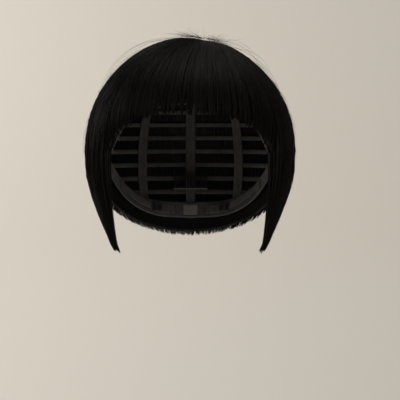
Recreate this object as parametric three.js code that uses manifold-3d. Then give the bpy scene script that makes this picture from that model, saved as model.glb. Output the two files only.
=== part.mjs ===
// A short bowl-cut costume wig: a wefted cap with combs, bendable ear tabs and nape adjusters,
// and the hair as closed solids over it. Millimetres, +Z up, the forehead faces -Y.
// Left and right are the wearer's, so left is +X.
//
// Places on the head are given as an azimuth and a reach, both in degrees. Azimuth 0 is the middle
// of the forehead, +90 the left ear and 180 the nape. Reach is the angle down from the top of the
// head: 90 is the widest level, and past 90 it goes on straight down the side. Lift is how far
// outside the head's surface a point is, in millimetres.
import * as THREE from 'three';
import { mergeVertices } from 'three/addons/utils/BufferGeometryUtils.js';
import Module from 'manifold-3d';

const wasm = await Module();
wasm.setup();

// ---- The head that the cap fits ----
const HEAD_HALF_WIDTH = 77;
const HEAD_HALF_LENGTH = 97;
const HEAD_HEIGHT = 100;
const TUCK_DROP = 75;
const CHEEK_TUCK = 0.08;
const NAPE_TUCK = 0.3;

// ---- Cap fabric and seams ----
const CAP_THICKNESS = 0.9;
const LAYER_GAP = 0.5;
const SEAM_GAP = 0.5;
const FRONT_BAND_WIDTH = 16;
const SIDE_BAND_WIDTH = 12;
const NAPE_BAND_WIDTH = 14;
const FRONT_BAND_END = 57;
const SIDE_BAND_END = 112;
const DOME_REACH = 50;
// The cap's lower edge: height above the widest level at each azimuth.
const RIM_STOPS = [[0, 58], [22, 57], [36, 50], [46, 39], [54, 24], [60, 12], [76, 8], [90, 11],
  [102, 4], [116, -14], [132, -34], [150, -46], [180, -50]];

// ---- Elastic ribbons and weft tracks ----
const RIBBON_AZIMUTHS = [-146, -112, -79, 180, 79, 112, 146];
const RIBBON_WIDTH = 9;
const RIBBON_THICKNESS = 0.7;
const RIBBON_OVERLAP = 4;
const WEFT_COUNT = 8;
const WEFT_HEIGHT = 4;
const WEFT_THICKNESS = 1.4;
const WEFT_EDGE_MARGIN = 10.5;
const WEFT_FRONT_END = 60;

// ---- Ear tabs ----
const EAR_TAB_FROM = 60;
const EAR_TAB_TO = 76;
const EAR_TAB_LENGTH = 30;
const STAY_WIDTH = 5;
const STAY_THICKNESS = 0.8;
const STAY_MARGIN = 5;

// ---- Combs ----
const COMB_SPINE_RADIUS = 1.3;
const COMB_TOOTH_LENGTH = 16;
const COMB_TOOTH_PITCH = 2.4;
const COMB_TOOTH_ROOT_RADIUS = 0.8;
const COMB_TOOTH_TIP_RADIUS = 0.45;
const COMB_INSET = 3.6;
const TEMPLE_COMB_TEETH = 12;
const NAPE_COMB_TEETH = 13;
const TEMPLE_COMB_AZIMUTH = 63;
const TEMPLE_COMB_REACH = 66;
const NAPE_COMB_REACH = 99;

// ---- Nape adjusters ----
const TAPE_WIDTH = 8;
const TAPE_THICKNESS = 0.6;
const POCKET_RIDGE = 0.5;
const POCKET_COUNT = 4;
const POCKET_PITCH = 6;
const TAPE_START = 149;
const STRAP_START = 124;
const STRAP_WIDTH = 6.5;
const STRAP_THICKNESS = 0.8;
const STRAP_SEWN_LENGTH = 5;
const ADJUSTER_ABOVE_RIM = 7;
const HOOK_LENGTH = 10;
const HOOK_HEIGHT = 8;
const HOOK_THICKNESS = 1.4;
const HOOK_BAR = 1.6;
const HOOK_SLOT = 1.4;
const LABEL_WIDTH = 14;
const LABEL_HEIGHT = 9;
const LABEL_THICKNESS = 0.4;

// ---- Hair ----
const HAIR_GAP = 0.5;
const HAIR_CLEARANCE = 0.9;
const CROWN_HAIR_REACH = 30;
const TOP_LIFT = 12;
const SHOULDER_LIFT = 1.8;
const SHOULDER_DROP = 1.9;
const FULL_FROM = 15;
const FULL_BY = 65;
const CUT_LIFT = 8;
const CUT_TAPER = 28;
const LOCK_TIP_LIFT = 3;
const LOCK_THINNING = 0.95;
const TIP_INNER_LIFT = 2.2;
const TIP_TAPER = 7;
const FACE_EDGE = 57;
const LOCK_END = 82;
const LOCK_TOP = -7;
const SIDE_HAIR_END = 100;
const NAPE_HAIR_FROM = 108;
const NAPE_HAIR_TOP = -18;
// How far the hair stands off the head at each azimuth, at the widest level.
const HAIR_LIFT_STOPS = [[0, 11], [45, 13], [90, 14.5], [135, 18], [180, 19.5]];
// The cut line: height at each azimuth, along the fringe and then from the lock's tip to the nape.
const FRINGE_CUT_STOPS = [[0, 41], [22, 40.5], [33, 37], [41, 32], [46, 28], [49, 24], [53, 16],
  [56, 6], [FACE_EDGE, -2]];
const BACK_CUT_STOPS = [[FACE_EDGE, -71], [60, -61], [63, -53], [68, -40.5], [73.5, -28],
  [79, -18], [84, -15], [92, -14.5], [102, -17], [115, -32], [135, -50], [160, -60], [180, -62]];

// ---- Grid of the curved solids ----
const CAP_STEP = 10;
const HAIR_STEP = 6;
const CROWN_STEP = 12;
const HAIR_ROW_LENGTH = 13;

const MM_PER_DEGREE = THREE.MathUtils.degToRad(1) * HEAD_HEIGHT;
const SIDES = [['left', 1], ['right', -1]];

const wig = new THREE.Group();

// ---- Helpers ----

function material(color, roughness, metalness) {
  return new THREE.MeshStandardMaterial({ color, roughness, metalness });
}

const hairMaterial = material(0x0b0a0a, 0.45, 0);
const laceMaterial = material(0x1a1817, 0.9, 0);
const bandMaterial = material(0x161416, 0.8, 0);
const elasticMaterial = material(0x1d1c1d, 0.85, 0);
const steelMaterial = material(0x3a3a3c, 0.4, 0.8);
const aluminiumMaterial = material(0xb9bbbe, 0.4, 0.9);
const plasticMaterial = material(0x101010, 0.35, 0);
const labelMaterial = material(0xe6e3dc, 0.7, 0);

function addMesh(name, geometry, finish) {
  const mesh = new THREE.Mesh(geometry, finish);
  mesh.name = name;
  wig.add(mesh);
  return mesh;
}

/** The head's surface point at an azimuth and a reach. */
function skinPoint(azimuth, reach) {
  const turn = THREE.MathUtils.degToRad(azimuth);
  const fall = THREE.MathUtils.degToRad(reach);
  const down = Math.max(0, fall - Math.PI / 2) * HEAD_HEIGHT;
  const behind = Math.max(0, -Math.cos(turn));
  const tuck = CHEEK_TUCK + (NAPE_TUCK - CHEEK_TUCK) * behind ** 2;
  const across = Math.sin(Math.min(fall, Math.PI / 2)) * (1 - tuck * (down / TUCK_DROP) ** 2);
  const height = down > 0 ? -down : HEAD_HEIGHT * Math.cos(fall);
  return new THREE.Vector3(
    HEAD_HALF_WIDTH * across * Math.sin(turn),
    -HEAD_HALF_LENGTH * across * Math.cos(turn),
    height,
  );
}

/** Unit vectors along the azimuth, up towards the crown and out of the head. */
function headFrame(azimuth, reach) {
  const probe = 0.5;
  const along = skinPoint(azimuth + probe, reach).sub(skinPoint(azimuth - probe, reach)).normalize();
  const down = skinPoint(azimuth, reach + probe).sub(skinPoint(azimuth, reach - probe)).normalize();
  const out = new THREE.Vector3().crossVectors(down, along).normalize();
  const up = new THREE.Vector3().crossVectors(out, along).normalize();
  return { along, up, out };
}

/** The point at a lift outside the head's surface. */
function headPoint(azimuth, reach, lift) {
  const out = reach > 0 ? headFrame(azimuth, reach).out : new THREE.Vector3(0, 0, 1);
  return skinPoint(azimuth, reach).addScaledVector(out, lift);
}

function reachAtHeight(height) {
  if (height > 0) {
    return THREE.MathUtils.radToDeg(Math.acos(height / HEAD_HEIGHT));
  }
  return 90 - height / MM_PER_DEGREE;
}

/** The same place on the left half of the head, from 0 at the forehead to 180 at the nape. */
function foldAzimuth(azimuth) {
  return Math.abs(THREE.MathUtils.euclideanModulo(azimuth + 180, 360) - 180);
}

/** A smooth function of the azimuth through [azimuth, value] stops, alike on both sides. */
function curveThrough(stops) {
  const places = stops.map(([azimuth]) => azimuth);
  const values = stops.map(([, value]) => value);
  const spline = new THREE.CubicInterpolant(places, values, 1);
  return (azimuth) => spline.evaluate(foldAzimuth(azimuth))[0];
}

const rimHeight = curveThrough(RIM_STOPS);
const hairLiftAtLevel = curveThrough(HAIR_LIFT_STOPS);
const fringeCutHeight = curveThrough(FRINGE_CUT_STOPS);
const backCutHeight = curveThrough(BACK_CUT_STOPS);

function rimReach(azimuth) {
  return reachAtHeight(rimHeight(azimuth));
}

/** The reach that lies a length above the rim, measured over the head's surface. */
function reachAboveRim(azimuth, length) {
  return rimReach(azimuth) - length / MM_PER_DEGREE;
}

function cutReach(azimuth) {
  const isFringe = foldAzimuth(azimuth) < FACE_EDGE;
  return reachAtHeight(isFringe ? fringeCutHeight(azimuth) : backCutHeight(azimuth));
}

/** Azimuths from one to another on a shared grid, so that layers have parallel facets. */
function gridStops(from, to, step) {
  const stops = [from];
  const smallest = step / 5;
  for (let at = Math.ceil((from + smallest) / step) * step; at < to - smallest; at += step) {
    stops.push(at);
  }
  stops.push(to);
  return stops;
}

/** A geometry from corner points and triangles that index them. */
function indexedGeometry(points, triangles) {
  const geometry = new THREE.BufferGeometry();
  geometry.setAttribute('position', new THREE.Float32BufferAttribute(points.flatMap((p) => p.toArray()), 3));
  geometry.setIndex(triangles);
  geometry.computeVertexNormals();
  return geometry;
}

/**
 * A closed piece of shell on the head, between two azimuths and two reaches. upper and lower give
 * the reach of its edges at an azimuth; inner and outer give the lift of its faces at a place.
 */
function patchSolid({ from, to, step, rows, upper, lower, inner, outer }) {
  const azimuths = gridStops(from, to, step);
  const points = [];
  for (const lift of [inner, outer]) {
    for (const azimuth of azimuths) {
      for (let row = 0; row <= rows; row += 1) {
        const reach = THREE.MathUtils.lerp(upper(azimuth), lower(azimuth), row / rows);
        points.push(headPoint(azimuth, reach, lift(azimuth, reach)));
      }
    }
  }
  const layer = azimuths.length * (rows + 1);
  const corner = (side, column, row) => side * layer + column * (rows + 1) + row;
  const triangles = [];
  const addQuad = (a, b, c, d) => triangles.push(a, b, c, a, c, d);
  const last = azimuths.length - 1;
  for (let column = 0; column < last; column += 1) {
    for (let row = 0; row < rows; row += 1) {
      addQuad(corner(1, column, row), corner(1, column, row + 1),
        corner(1, column + 1, row + 1), corner(1, column + 1, row));
      addQuad(corner(0, column, row), corner(0, column + 1, row),
        corner(0, column + 1, row + 1), corner(0, column, row + 1));
    }
    addQuad(corner(0, column, 0), corner(1, column, 0),
      corner(1, column + 1, 0), corner(0, column + 1, 0));
    addQuad(corner(1, column, rows), corner(0, column, rows),
      corner(0, column + 1, rows), corner(1, column + 1, rows));
  }
  for (let row = 0; row < rows; row += 1) {
    addQuad(corner(0, 0, row), corner(0, 0, row + 1), corner(1, 0, row + 1), corner(1, 0, row));
    addQuad(corner(1, last, row), corner(1, last, row + 1),
      corner(0, last, row + 1), corner(0, last, row));
  }
  return indexedGeometry(points, triangles);
}

/** A closed shell over the top of the head, down to the reach that edge gives at each azimuth. */
function domeSolid({ step, rows, edge, inner, outer }) {
  const columns = 360 / step;
  const points = [];
  for (const lift of [inner, outer]) {
    points.push(headPoint(0, 0, lift(0, 0)));
    for (let column = 0; column < columns; column += 1) {
      for (let row = 1; row <= rows; row += 1) {
        const azimuth = column * step;
        const reach = edge(azimuth) * row / rows;
        points.push(headPoint(azimuth, reach, lift(azimuth, reach)));
      }
    }
  }
  const layer = 1 + columns * rows;
  const pole = (side) => side * layer;
  const corner = (side, column, row) => pole(side) + (column % columns) * rows + row;
  const triangles = [];
  for (let column = 0; column < columns; column += 1) {
    const next = column + 1;
    triangles.push(pole(1), corner(1, column, 1), corner(1, next, 1));
    triangles.push(pole(0), corner(0, next, 1), corner(0, column, 1));
    for (let row = 1; row < rows; row += 1) {
      const outside = [corner(1, column, row), corner(1, column, row + 1),
        corner(1, next, row + 1), corner(1, next, row)];
      const inside = [corner(0, column, row), corner(0, next, row),
        corner(0, next, row + 1), corner(0, column, row + 1)];
      for (const [a, b, c, d] of [outside, inside]) {
        triangles.push(a, b, c, a, c, d);
      }
    }
    const [a, b] = [corner(1, column, rows), corner(0, column, rows)];
    const [c, d] = [corner(0, next, rows), corner(1, next, rows)];
    triangles.push(a, b, c, a, c, d);
  }
  return indexedGeometry(points, triangles);
}

/** Sets a mesh on the head with its X along the azimuth, its Y to the crown and its Z outward. */
function setOnHead(mesh, azimuth, reach, lift) {
  const { along, up, out } = headFrame(azimuth, reach);
  mesh.position.copy(headPoint(azimuth, reach, lift));
  mesh.quaternion.setFromRotationMatrix(new THREE.Matrix4().makeBasis(along, up, out));
}

function toManifold(geometry) {
  const bare = geometry.clone();
  bare.deleteAttribute('normal');
  bare.deleteAttribute('uv');
  const merged = mergeVertices(bare, 1e-4);
  return new wasm.Manifold(new wasm.Mesh({
    numProp: 3,
    vertProperties: new Float32Array(merged.attributes.position.array),
    triVerts: new Uint32Array(merged.index.array),
  }));
}

function fromManifold(solid) {
  const { vertProperties, triVerts } = solid.getMesh();
  const geometry = new THREE.BufferGeometry();
  geometry.setAttribute('position', new THREE.Float32BufferAttribute(vertProperties, 3));
  geometry.setIndex(Array.from(triVerts));
  geometry.computeVertexNormals();
  return geometry;
}

const constantLift = (lift) => () => lift;

// ---- Layers, from the head outward ----
const ribbonLift = CAP_THICKNESS + LAYER_GAP;
const weftLift = ribbonLift + RIBBON_THICKNESS + LAYER_GAP;
const hairInnerLift = weftLift + WEFT_THICKNESS + HAIR_CLEARANCE;
const seamReach = SEAM_GAP / MM_PER_DEGREE;

function capLayer(shape) {
  return { step: CAP_STEP, inner: constantLift(0), outer: constantLift(CAP_THICKNESS), ...shape };
}

// ---- Crown cap and bands ----

/** The dome meets the front band at the forehead, and ends at its own level behind the temples. */
function domeEdge(azimuth) {
  const bandTop = reachAboveRim(azimuth, FRONT_BAND_WIDTH) - seamReach;
  return foldAzimuth(azimuth) < FRONT_BAND_END ? bandTop : Math.min(DOME_REACH, bandTop);
}

function addCrownCap() {
  const shape = { step: CAP_STEP, rows: 6, edge: domeEdge,
    inner: constantLift(0), outer: constantLift(CAP_THICKNESS) };
  addMesh('crown_cap', domeSolid(shape), laceMaterial);
}

function addBands() {
  const endGap = seamReach;
  addMesh('front_band', patchSolid(capLayer({
    from: -FRONT_BAND_END, to: FRONT_BAND_END, rows: 2,
    upper: (azimuth) => reachAboveRim(azimuth, FRONT_BAND_WIDTH), lower: rimReach,
  })), bandMaterial);
  for (const [side, sign] of SIDES) {
    const ends = [FRONT_BAND_END + endGap, SIDE_BAND_END - endGap].map((azimuth) => sign * azimuth);
    addMesh(`side_band_${side}`, patchSolid(capLayer({
      from: Math.min(...ends), to: Math.max(...ends), rows: 2,
      upper: (azimuth) => reachAboveRim(azimuth, SIDE_BAND_WIDTH), lower: rimReach,
    })), bandMaterial);
  }
  addMesh('nape_band', patchSolid(capLayer({
    from: SIDE_BAND_END, to: 360 - SIDE_BAND_END, step: CAP_STEP / 2, rows: 2,
    upper: (azimuth) => reachAboveRim(azimuth, NAPE_BAND_WIDTH), lower: rimReach,
  })), bandMaterial);
}

// ---- Ribbons and wefts ----

function addRibbons() {
  RIBBON_AZIMUTHS.forEach((azimuth, index) => {
    const halfTurn = THREE.MathUtils.radToDeg(RIBBON_WIDTH / 2 / HEAD_HALF_WIDTH);
    const bandWidth = foldAzimuth(azimuth) < SIDE_BAND_END ? SIDE_BAND_WIDTH : NAPE_BAND_WIDTH;
    const overlap = RIBBON_OVERLAP / MM_PER_DEGREE;
    addMesh(`cap_ribbon_${index + 1}`, patchSolid({
      from: azimuth - halfTurn, to: azimuth + halfTurn, step: CAP_STEP, rows: 8,
      upper: (place) => domeEdge(place) - overlap,
      lower: (place) => reachAboveRim(place, bandWidth) + overlap,
      inner: constantLift(ribbonLift), outer: constantLift(ribbonLift + RIBBON_THICKNESS),
    }), elasticMaterial);
  });
}

/** The azimuth nearest the face from which a weft stays above the bands all the way to the nape. */
function weftStart(lowerReach) {
  let azimuth = 180;
  while (azimuth > WEFT_FRONT_END && reachAboveRim(azimuth - 1, SIDE_BAND_WIDTH) > lowerReach) {
    azimuth -= 1;
  }
  return azimuth;
}

function addWefts() {
  const margin = WEFT_EDGE_MARGIN / MM_PER_DEGREE;
  const halfHeight = WEFT_HEIGHT / 2 / MM_PER_DEGREE;
  const first = DOME_REACH + margin;
  const last = reachAboveRim(180, NAPE_BAND_WIDTH) - margin;
  for (let index = 0; index < WEFT_COUNT; index += 1) {
    const middle = THREE.MathUtils.lerp(first, last, index / (WEFT_COUNT - 1));
    const start = weftStart(middle + halfHeight);
    addMesh(`weft_track_${index + 1}`, patchSolid({
      from: start, to: 360 - start, step: CAP_STEP, rows: 1,
      upper: () => middle - halfHeight, lower: () => middle + halfHeight,
      inner: constantLift(weftLift), outer: constantLift(weftLift + WEFT_THICKNESS),
    }), elasticMaterial);
  }
}

// ---- Ear tabs ----

function addEarTabs() {
  const middle = (EAR_TAB_FROM + EAR_TAB_TO) / 2;
  const halfTurn = (EAR_TAB_TO - EAR_TAB_FROM) / 2;
  const top = (azimuth) => rimReach(azimuth) + seamReach;
  const tongue = (azimuth) => {
    const share = (foldAzimuth(azimuth) - middle) / halfTurn;
    return rimReach(azimuth) + EAR_TAB_LENGTH / MM_PER_DEGREE * Math.sqrt(1 - 0.8 * share ** 2);
  };
  const stayHalfTurn = THREE.MathUtils.radToDeg(STAY_WIDTH / 2 / HEAD_HALF_WIDTH);
  const stayLift = CAP_THICKNESS + LAYER_GAP;
  for (const [side, sign] of SIDES) {
    addMesh(`ear_tab_${side}`, patchSolid({
      from: sign * middle - halfTurn, to: sign * middle + halfTurn, step: 4, rows: 4,
      upper: top, lower: tongue,
      inner: constantLift(0), outer: constantLift(CAP_THICKNESS),
    }), bandMaterial);
    addMesh(`ear_tab_stay_${side}`, patchSolid({
      from: sign * middle - stayHalfTurn, to: sign * middle + stayHalfTurn, step: 4, rows: 4,
      upper: (azimuth) => rimReach(azimuth) + STAY_MARGIN / MM_PER_DEGREE,
      lower: (azimuth) => rimReach(azimuth) + (EAR_TAB_LENGTH - STAY_MARGIN) / MM_PER_DEGREE,
      inner: constantLift(stayLift), outer: constantLift(stayLift + STAY_THICKNESS),
    }), aluminiumMaterial);
  }
}

// ---- Combs ----

/** A comb about the middle of its teeth, which point along +Y, with its spine along X. */
function combSolid(toothCount) {
  const spineLength = (toothCount - 1) * COMB_TOOTH_PITCH + 2 * COMB_SPINE_RADIUS;
  const spine = new THREE.CylinderGeometry(COMB_SPINE_RADIUS, COMB_SPINE_RADIUS, spineLength, 8);
  spine.rotateZ(Math.PI / 2);
  spine.translate(0, -COMB_TOOTH_LENGTH / 2, 0);
  let comb = toManifold(spine);
  for (let tooth = 0; tooth < toothCount; tooth += 1) {
    const shaft = new THREE.CylinderGeometry(
      COMB_TOOTH_TIP_RADIUS, COMB_TOOTH_ROOT_RADIUS, COMB_TOOTH_LENGTH, 6);
    shaft.translate((tooth - (toothCount - 1) / 2) * COMB_TOOTH_PITCH, 0, 0);
    comb = comb.add(toManifold(shaft));
  }
  return fromManifold(comb);
}

function addCombs() {
  for (const [side, sign] of SIDES) {
    const comb = addMesh(`temple_comb_${side}`, combSolid(TEMPLE_COMB_TEETH), steelMaterial);
    setOnHead(comb, sign * TEMPLE_COMB_AZIMUTH, TEMPLE_COMB_REACH, -COMB_INSET);
  }
  const napeComb = addMesh('nape_comb', combSolid(NAPE_COMB_TEETH), steelMaterial);
  setOnHead(napeComb, 180, NAPE_COMB_REACH, -COMB_INSET);
}

// ---- Nape adjusters ----

/** Degrees of azimuth that a length covers along the nape's rim, where the first pocket is. */
function napeTurn(length) {
  const reach = rimReach(TAPE_START);
  const degree = skinPoint(TAPE_START, reach).distanceTo(skinPoint(TAPE_START + 1, reach));
  return length / degree;
}

/** The edges of a strip of some width that runs along the rim, on the inside of the nape band. */
function adjusterStrip(width) {
  return {
    upper: (azimuth) => reachAboveRim(azimuth, ADJUSTER_ABOVE_RIM + width / 2),
    lower: (azimuth) => reachAboveRim(azimuth, ADJUSTER_ABOVE_RIM - width / 2),
  };
}

/** A flat G-shaped hook: a bar to the strap, a slot, and a finger that opens at the lower edge. */
function hookSolid() {
  const half = HOOK_LENGTH / 2;
  const rise = HOOK_HEIGHT / 2;
  const outline = new THREE.Shape([
    new THREE.Vector2(-half, -rise),
    new THREE.Vector2(half - HOOK_BAR - HOOK_SLOT, -rise),
    new THREE.Vector2(half - HOOK_BAR - HOOK_SLOT, rise - 2 * HOOK_BAR),
    new THREE.Vector2(half - HOOK_BAR, rise - 2 * HOOK_BAR),
    new THREE.Vector2(half - HOOK_BAR, -rise),
    new THREE.Vector2(half, -rise),
    new THREE.Vector2(half, rise - HOOK_BAR),
    new THREE.Vector2(half - HOOK_BAR, rise),
    new THREE.Vector2(-half, rise),
  ]);
  const slotFrom = -half + HOOK_BAR;
  const slotTop = rise - HOOK_BAR / 2;
  outline.holes.push(new THREE.Path([
    new THREE.Vector2(slotFrom, -slotTop),
    new THREE.Vector2(slotFrom, slotTop),
    new THREE.Vector2(slotFrom + HOOK_SLOT, slotTop),
    new THREE.Vector2(slotFrom + HOOK_SLOT, -slotTop),
  ]));
  const plate = new THREE.ExtrudeGeometry(outline, { depth: HOOK_THICKNESS, bevelEnabled: false });
  plate.translate(0, 0, -HOOK_THICKNESS / 2);
  return plate;
}

function addAdjusters() {
  const tapeOuter = -LAYER_GAP;
  const tapeInner = tapeOuter - TAPE_THICKNESS;
  const ridgeInner = tapeInner - POCKET_RIDGE;
  const hookOuter = ridgeInner - 2 * LAYER_GAP;
  const hookMiddle = hookOuter - HOOK_THICKNESS / 2;
  const hookTurn = TAPE_START + napeTurn(HOOK_LENGTH) / 2;
  const strapEnd = TAPE_START - napeTurn(SEAM_GAP);
  const tapeEnd = TAPE_START + napeTurn(POCKET_COUNT * POCKET_PITCH);
  const ridgeHalf = napeTurn(1);
  const pitch = napeTurn(POCKET_PITCH);
  /** Stitched ridges between the pockets stand out towards the head. */
  const pocketLift = (azimuth) => {
    const along = (foldAzimuth(azimuth) - TAPE_START) / pitch;
    return Math.abs(along - Math.round(along)) * pitch < ridgeHalf ? ridgeInner : tapeInner;
  };
  const strapOuter = (azimuth) => {
    const fromSeam = (foldAzimuth(azimuth) - STRAP_START) / napeTurn(STRAP_SEWN_LENGTH);
    const middle = hookMiddle + STRAP_THICKNESS / 2;
    return THREE.MathUtils.lerp(tapeOuter, middle, THREE.MathUtils.smoothstep(fromSeam, 0.8, 1.6));
  };
  const strapInner = (azimuth) => Math.min(strapOuter(azimuth), hookMiddle + STRAP_THICKNESS / 2)
    - STRAP_THICKNESS;
  for (const [side, sign] of SIDES) {
    const span = (from, to) => ({
      from: Math.min(sign * from, sign * to), to: Math.max(sign * from, sign * to),
    });
    addMesh(`nape_strap_${side}`, patchSolid({
      ...span(STRAP_START, strapEnd), ...adjusterStrip(STRAP_WIDTH), step: 3, rows: 1,
      inner: strapInner, outer: strapOuter,
    }), elasticMaterial);
    addMesh(`pocket_tape_${side}`, patchSolid({
      ...span(TAPE_START, tapeEnd), ...adjusterStrip(TAPE_WIDTH), step: pitch / 4, rows: 1,
      inner: pocketLift, outer: constantLift(tapeOuter),
    }), bandMaterial);
    const hook = addMesh(`strap_hook_${side}`, hookSolid(), plasticMaterial);
    setOnHead(hook, sign * hookTurn, reachAboveRim(hookTurn, ADJUSTER_ABOVE_RIM), hookMiddle);
    if (sign < 0) {
      hook.rotateY(Math.PI);
    }
  }
  const labelHalf = napeTurn(LABEL_WIDTH / 2);
  addMesh('size_label', patchSolid({
    from: 180 - labelHalf, to: 180 + labelHalf, ...adjusterStrip(LABEL_HEIGHT), step: 5, rows: 1,
    inner: constantLift(tapeOuter - LABEL_THICKNESS), outer: constantLift(tapeOuter),
  }), labelMaterial);
}

// ---- Hair ----

/** How much of its fullness the hair keeps: all of it, except on a lock towards its tip. */
function lockFullness(azimuth, reach) {
  const drop = (reach - 90) * MM_PER_DEGREE;
  if (drop <= 0 || foldAzimuth(azimuth) > LOCK_END) {
    return 1;
  }
  const toTip = 1 + drop / backCutHeight(FACE_EDGE);
  return THREE.MathUtils.clamp(toTip, 0, 1) ** LOCK_THINNING;
}

/** How far the outside of the hair stands off the head: full at the sides, thinner at the cut. */
function hairOuter(azimuth, reach) {
  const share = THREE.MathUtils.smoothstep(reach, FULL_FROM, FULL_BY);
  const towardsLevel = (Math.min(reach, 90) / 90) ** SHOULDER_DROP;
  const shoulder = SHOULDER_LIFT * Math.sin(Math.PI * towardsLevel) ** 2;
  const uncut = THREE.MathUtils.lerp(TOP_LIFT, hairLiftAtLevel(azimuth), share) + shoulder;
  const full = THREE.MathUtils.lerp(LOCK_TIP_LIFT, uncut, lockFullness(azimuth, reach));
  const toCut = (cutReach(azimuth) - reach) * MM_PER_DEGREE / CUT_TAPER;
  const fullness = Math.sqrt(THREE.MathUtils.clamp(toCut, 0, 1));
  return THREE.MathUtils.lerp(Math.min(CUT_LIFT, full), full, fullness);
}

/** The inside of the hair clears the wefts, and closes in on the skin near the cut. */
function hairInner(azimuth, reach) {
  const toCut = (cutReach(azimuth) - reach) * MM_PER_DEGREE / TIP_TAPER;
  return THREE.MathUtils.lerp(TIP_INNER_LIFT, hairInnerLift, THREE.MathUtils.clamp(toCut, 0, 1));
}

function addHairPatch(name, from, to, upper, lower, length) {
  addMesh(name, patchSolid({
    from, to, step: HAIR_STEP, rows: Math.round(length / HAIR_ROW_LENGTH), upper, lower,
    inner: hairInner, outer: hairOuter,
  }), hairMaterial);
}

function addHair() {
  const gapTurn = THREE.MathUtils.radToDeg(HAIR_GAP / HEAD_HALF_WIDTH);
  const gapReach = HAIR_GAP / MM_PER_DEGREE;
  const belowCrown = () => CROWN_HAIR_REACH + gapReach;
  const sideBottom = () => reachAtHeight(LOCK_TOP) - gapReach;
  const backBottom = (azimuth) => Math.min(reachAtHeight(NAPE_HAIR_TOP) - gapReach, cutReach(azimuth));
  const napeTop = () => reachAtHeight(NAPE_HAIR_TOP);
  const lockTop = () => reachAtHeight(LOCK_TOP);

  addMesh('crown_hair', domeSolid({
    step: CROWN_STEP, rows: 3, edge: () => CROWN_HAIR_REACH,
    inner: constantLift(hairInnerLift), outer: hairOuter,
  }), hairMaterial);
  addHairPatch('fringe_hair', -FACE_EDGE + gapTurn, FACE_EDGE - gapTurn, belowCrown, cutReach, 65);
  for (const [side, sign] of SIDES) {
    const span = (from, to) => [Math.min(sign * from, sign * to), Math.max(sign * from, sign * to)];
    addHairPatch(`side_hair_${side}`, ...span(FACE_EDGE, SIDE_HAIR_END), belowCrown, sideBottom, 110);
    addHairPatch(`side_lock_${side}`, ...span(FACE_EDGE, LOCK_END), lockTop, cutReach, 52);
    addHairPatch(`back_hair_${side}`, ...span(SIDE_HAIR_END + gapTurn, 180 - gapTurn / 2),
      belowCrown, backBottom, 120);
  }
  addHairPatch('nape_hair', NAPE_HAIR_FROM, 360 - NAPE_HAIR_FROM, napeTop, cutReach, 45);
}

addCrownCap();
addBands();
addRibbons();
addWefts();
addEarTabs();
addCombs();
addAdjusters();
addHair();

export default wig;
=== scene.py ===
"""A short bowl-cut costume wig over its wefted cap, in metres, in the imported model's frame.

+Z is up and the forehead faces -Y, so the wearer's left is +X. Places on the head are an azimuth and
a reach in degrees: azimuth 0 is the middle of the forehead, 90 the left ear and 180 the nape; reach
is the angle down from the top, 90 at the widest level, and past 90 it goes straight down the side.
Lift is how far outside the head's surface a point is.
"""

import logging
import math
from dataclasses import dataclass, field
from enum import Enum
from typing import Any, Callable, Sequence

import bmesh
import bpy
import numpy as np
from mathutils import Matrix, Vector


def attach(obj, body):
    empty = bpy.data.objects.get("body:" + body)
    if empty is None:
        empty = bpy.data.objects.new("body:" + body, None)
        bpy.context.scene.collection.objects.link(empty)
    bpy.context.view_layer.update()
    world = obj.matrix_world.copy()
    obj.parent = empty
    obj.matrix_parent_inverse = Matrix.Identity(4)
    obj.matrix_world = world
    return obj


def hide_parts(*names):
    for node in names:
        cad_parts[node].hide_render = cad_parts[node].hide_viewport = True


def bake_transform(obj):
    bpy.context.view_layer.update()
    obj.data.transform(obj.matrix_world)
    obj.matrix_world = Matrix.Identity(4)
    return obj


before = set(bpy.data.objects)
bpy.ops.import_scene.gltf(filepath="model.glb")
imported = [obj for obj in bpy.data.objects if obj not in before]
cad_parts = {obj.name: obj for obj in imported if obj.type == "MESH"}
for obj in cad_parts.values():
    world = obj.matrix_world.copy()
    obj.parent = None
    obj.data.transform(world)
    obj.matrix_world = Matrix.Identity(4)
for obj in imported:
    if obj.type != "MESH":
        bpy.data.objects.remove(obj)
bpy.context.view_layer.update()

log = logging.getLogger("wig")

MM = 0.001
DEGREE = math.radians(1)
CAP = "cap"
BAKE_MAP = "OFBake"
CLOTH_MAP = "cloth"

Colour = tuple[float, float, float]
Field = Callable[[np.ndarray], np.ndarray]
LiftField = Callable[[np.ndarray, np.ndarray], np.ndarray]


class Side(Enum):
    """The wearer's two sides, with the sign of their azimuth."""

    LEFT = 1
    RIGHT = -1

    @property
    def word(self) -> str:
        """The side's name in lower case."""
        return self.name.lower()


# ---------------------------------------------------------------- the head and the hair's outline


@dataclass(frozen=True)
class StopCurve:
    """A smooth curve through [azimuth, value] stops, alike on both sides of the head."""

    stops: tuple[tuple[float, float], ...]

    def __call__(self, azimuth: np.ndarray) -> np.ndarray:
        """Reads the curve.

        Args:
            azimuth: Degrees, of any turn.

        Returns:
            The curve's value at each azimuth.
        """
        places, values = (np.array(column, float) for column in zip(*self.stops))
        at = np.clip(fold(azimuth), places[0], places[-1])
        low = np.clip(np.searchsorted(places, at, side="right") - 1, 0, len(places) - 2)
        start, end = places[low], places[low + 1]
        before = np.where(low > 0, np.maximum(low - 1, 0), low + 1)
        after = np.where(low + 2 < len(places), np.minimum(low + 2, len(places) - 1), low)
        half = (end - start) / 2
        weight_before = half / (start - places[before])
        weight_after = half / (places[after] - end)
        share = (at - start) / (end - start)
        square, cube = share**2, share**3
        return (
            values[before] * weight_before * (-cube + 2 * square - share)
            + values[low] * ((1 + weight_before) * cube - (1.5 + 2 * weight_before) * square
                             + (weight_before - 0.5) * share + 1)
            + values[low + 1] * ((-1 - weight_after) * cube + (1.5 + weight_after) * square
                                 + 0.5 * share)
            + values[after] * weight_after * (cube - square)
        )


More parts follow.
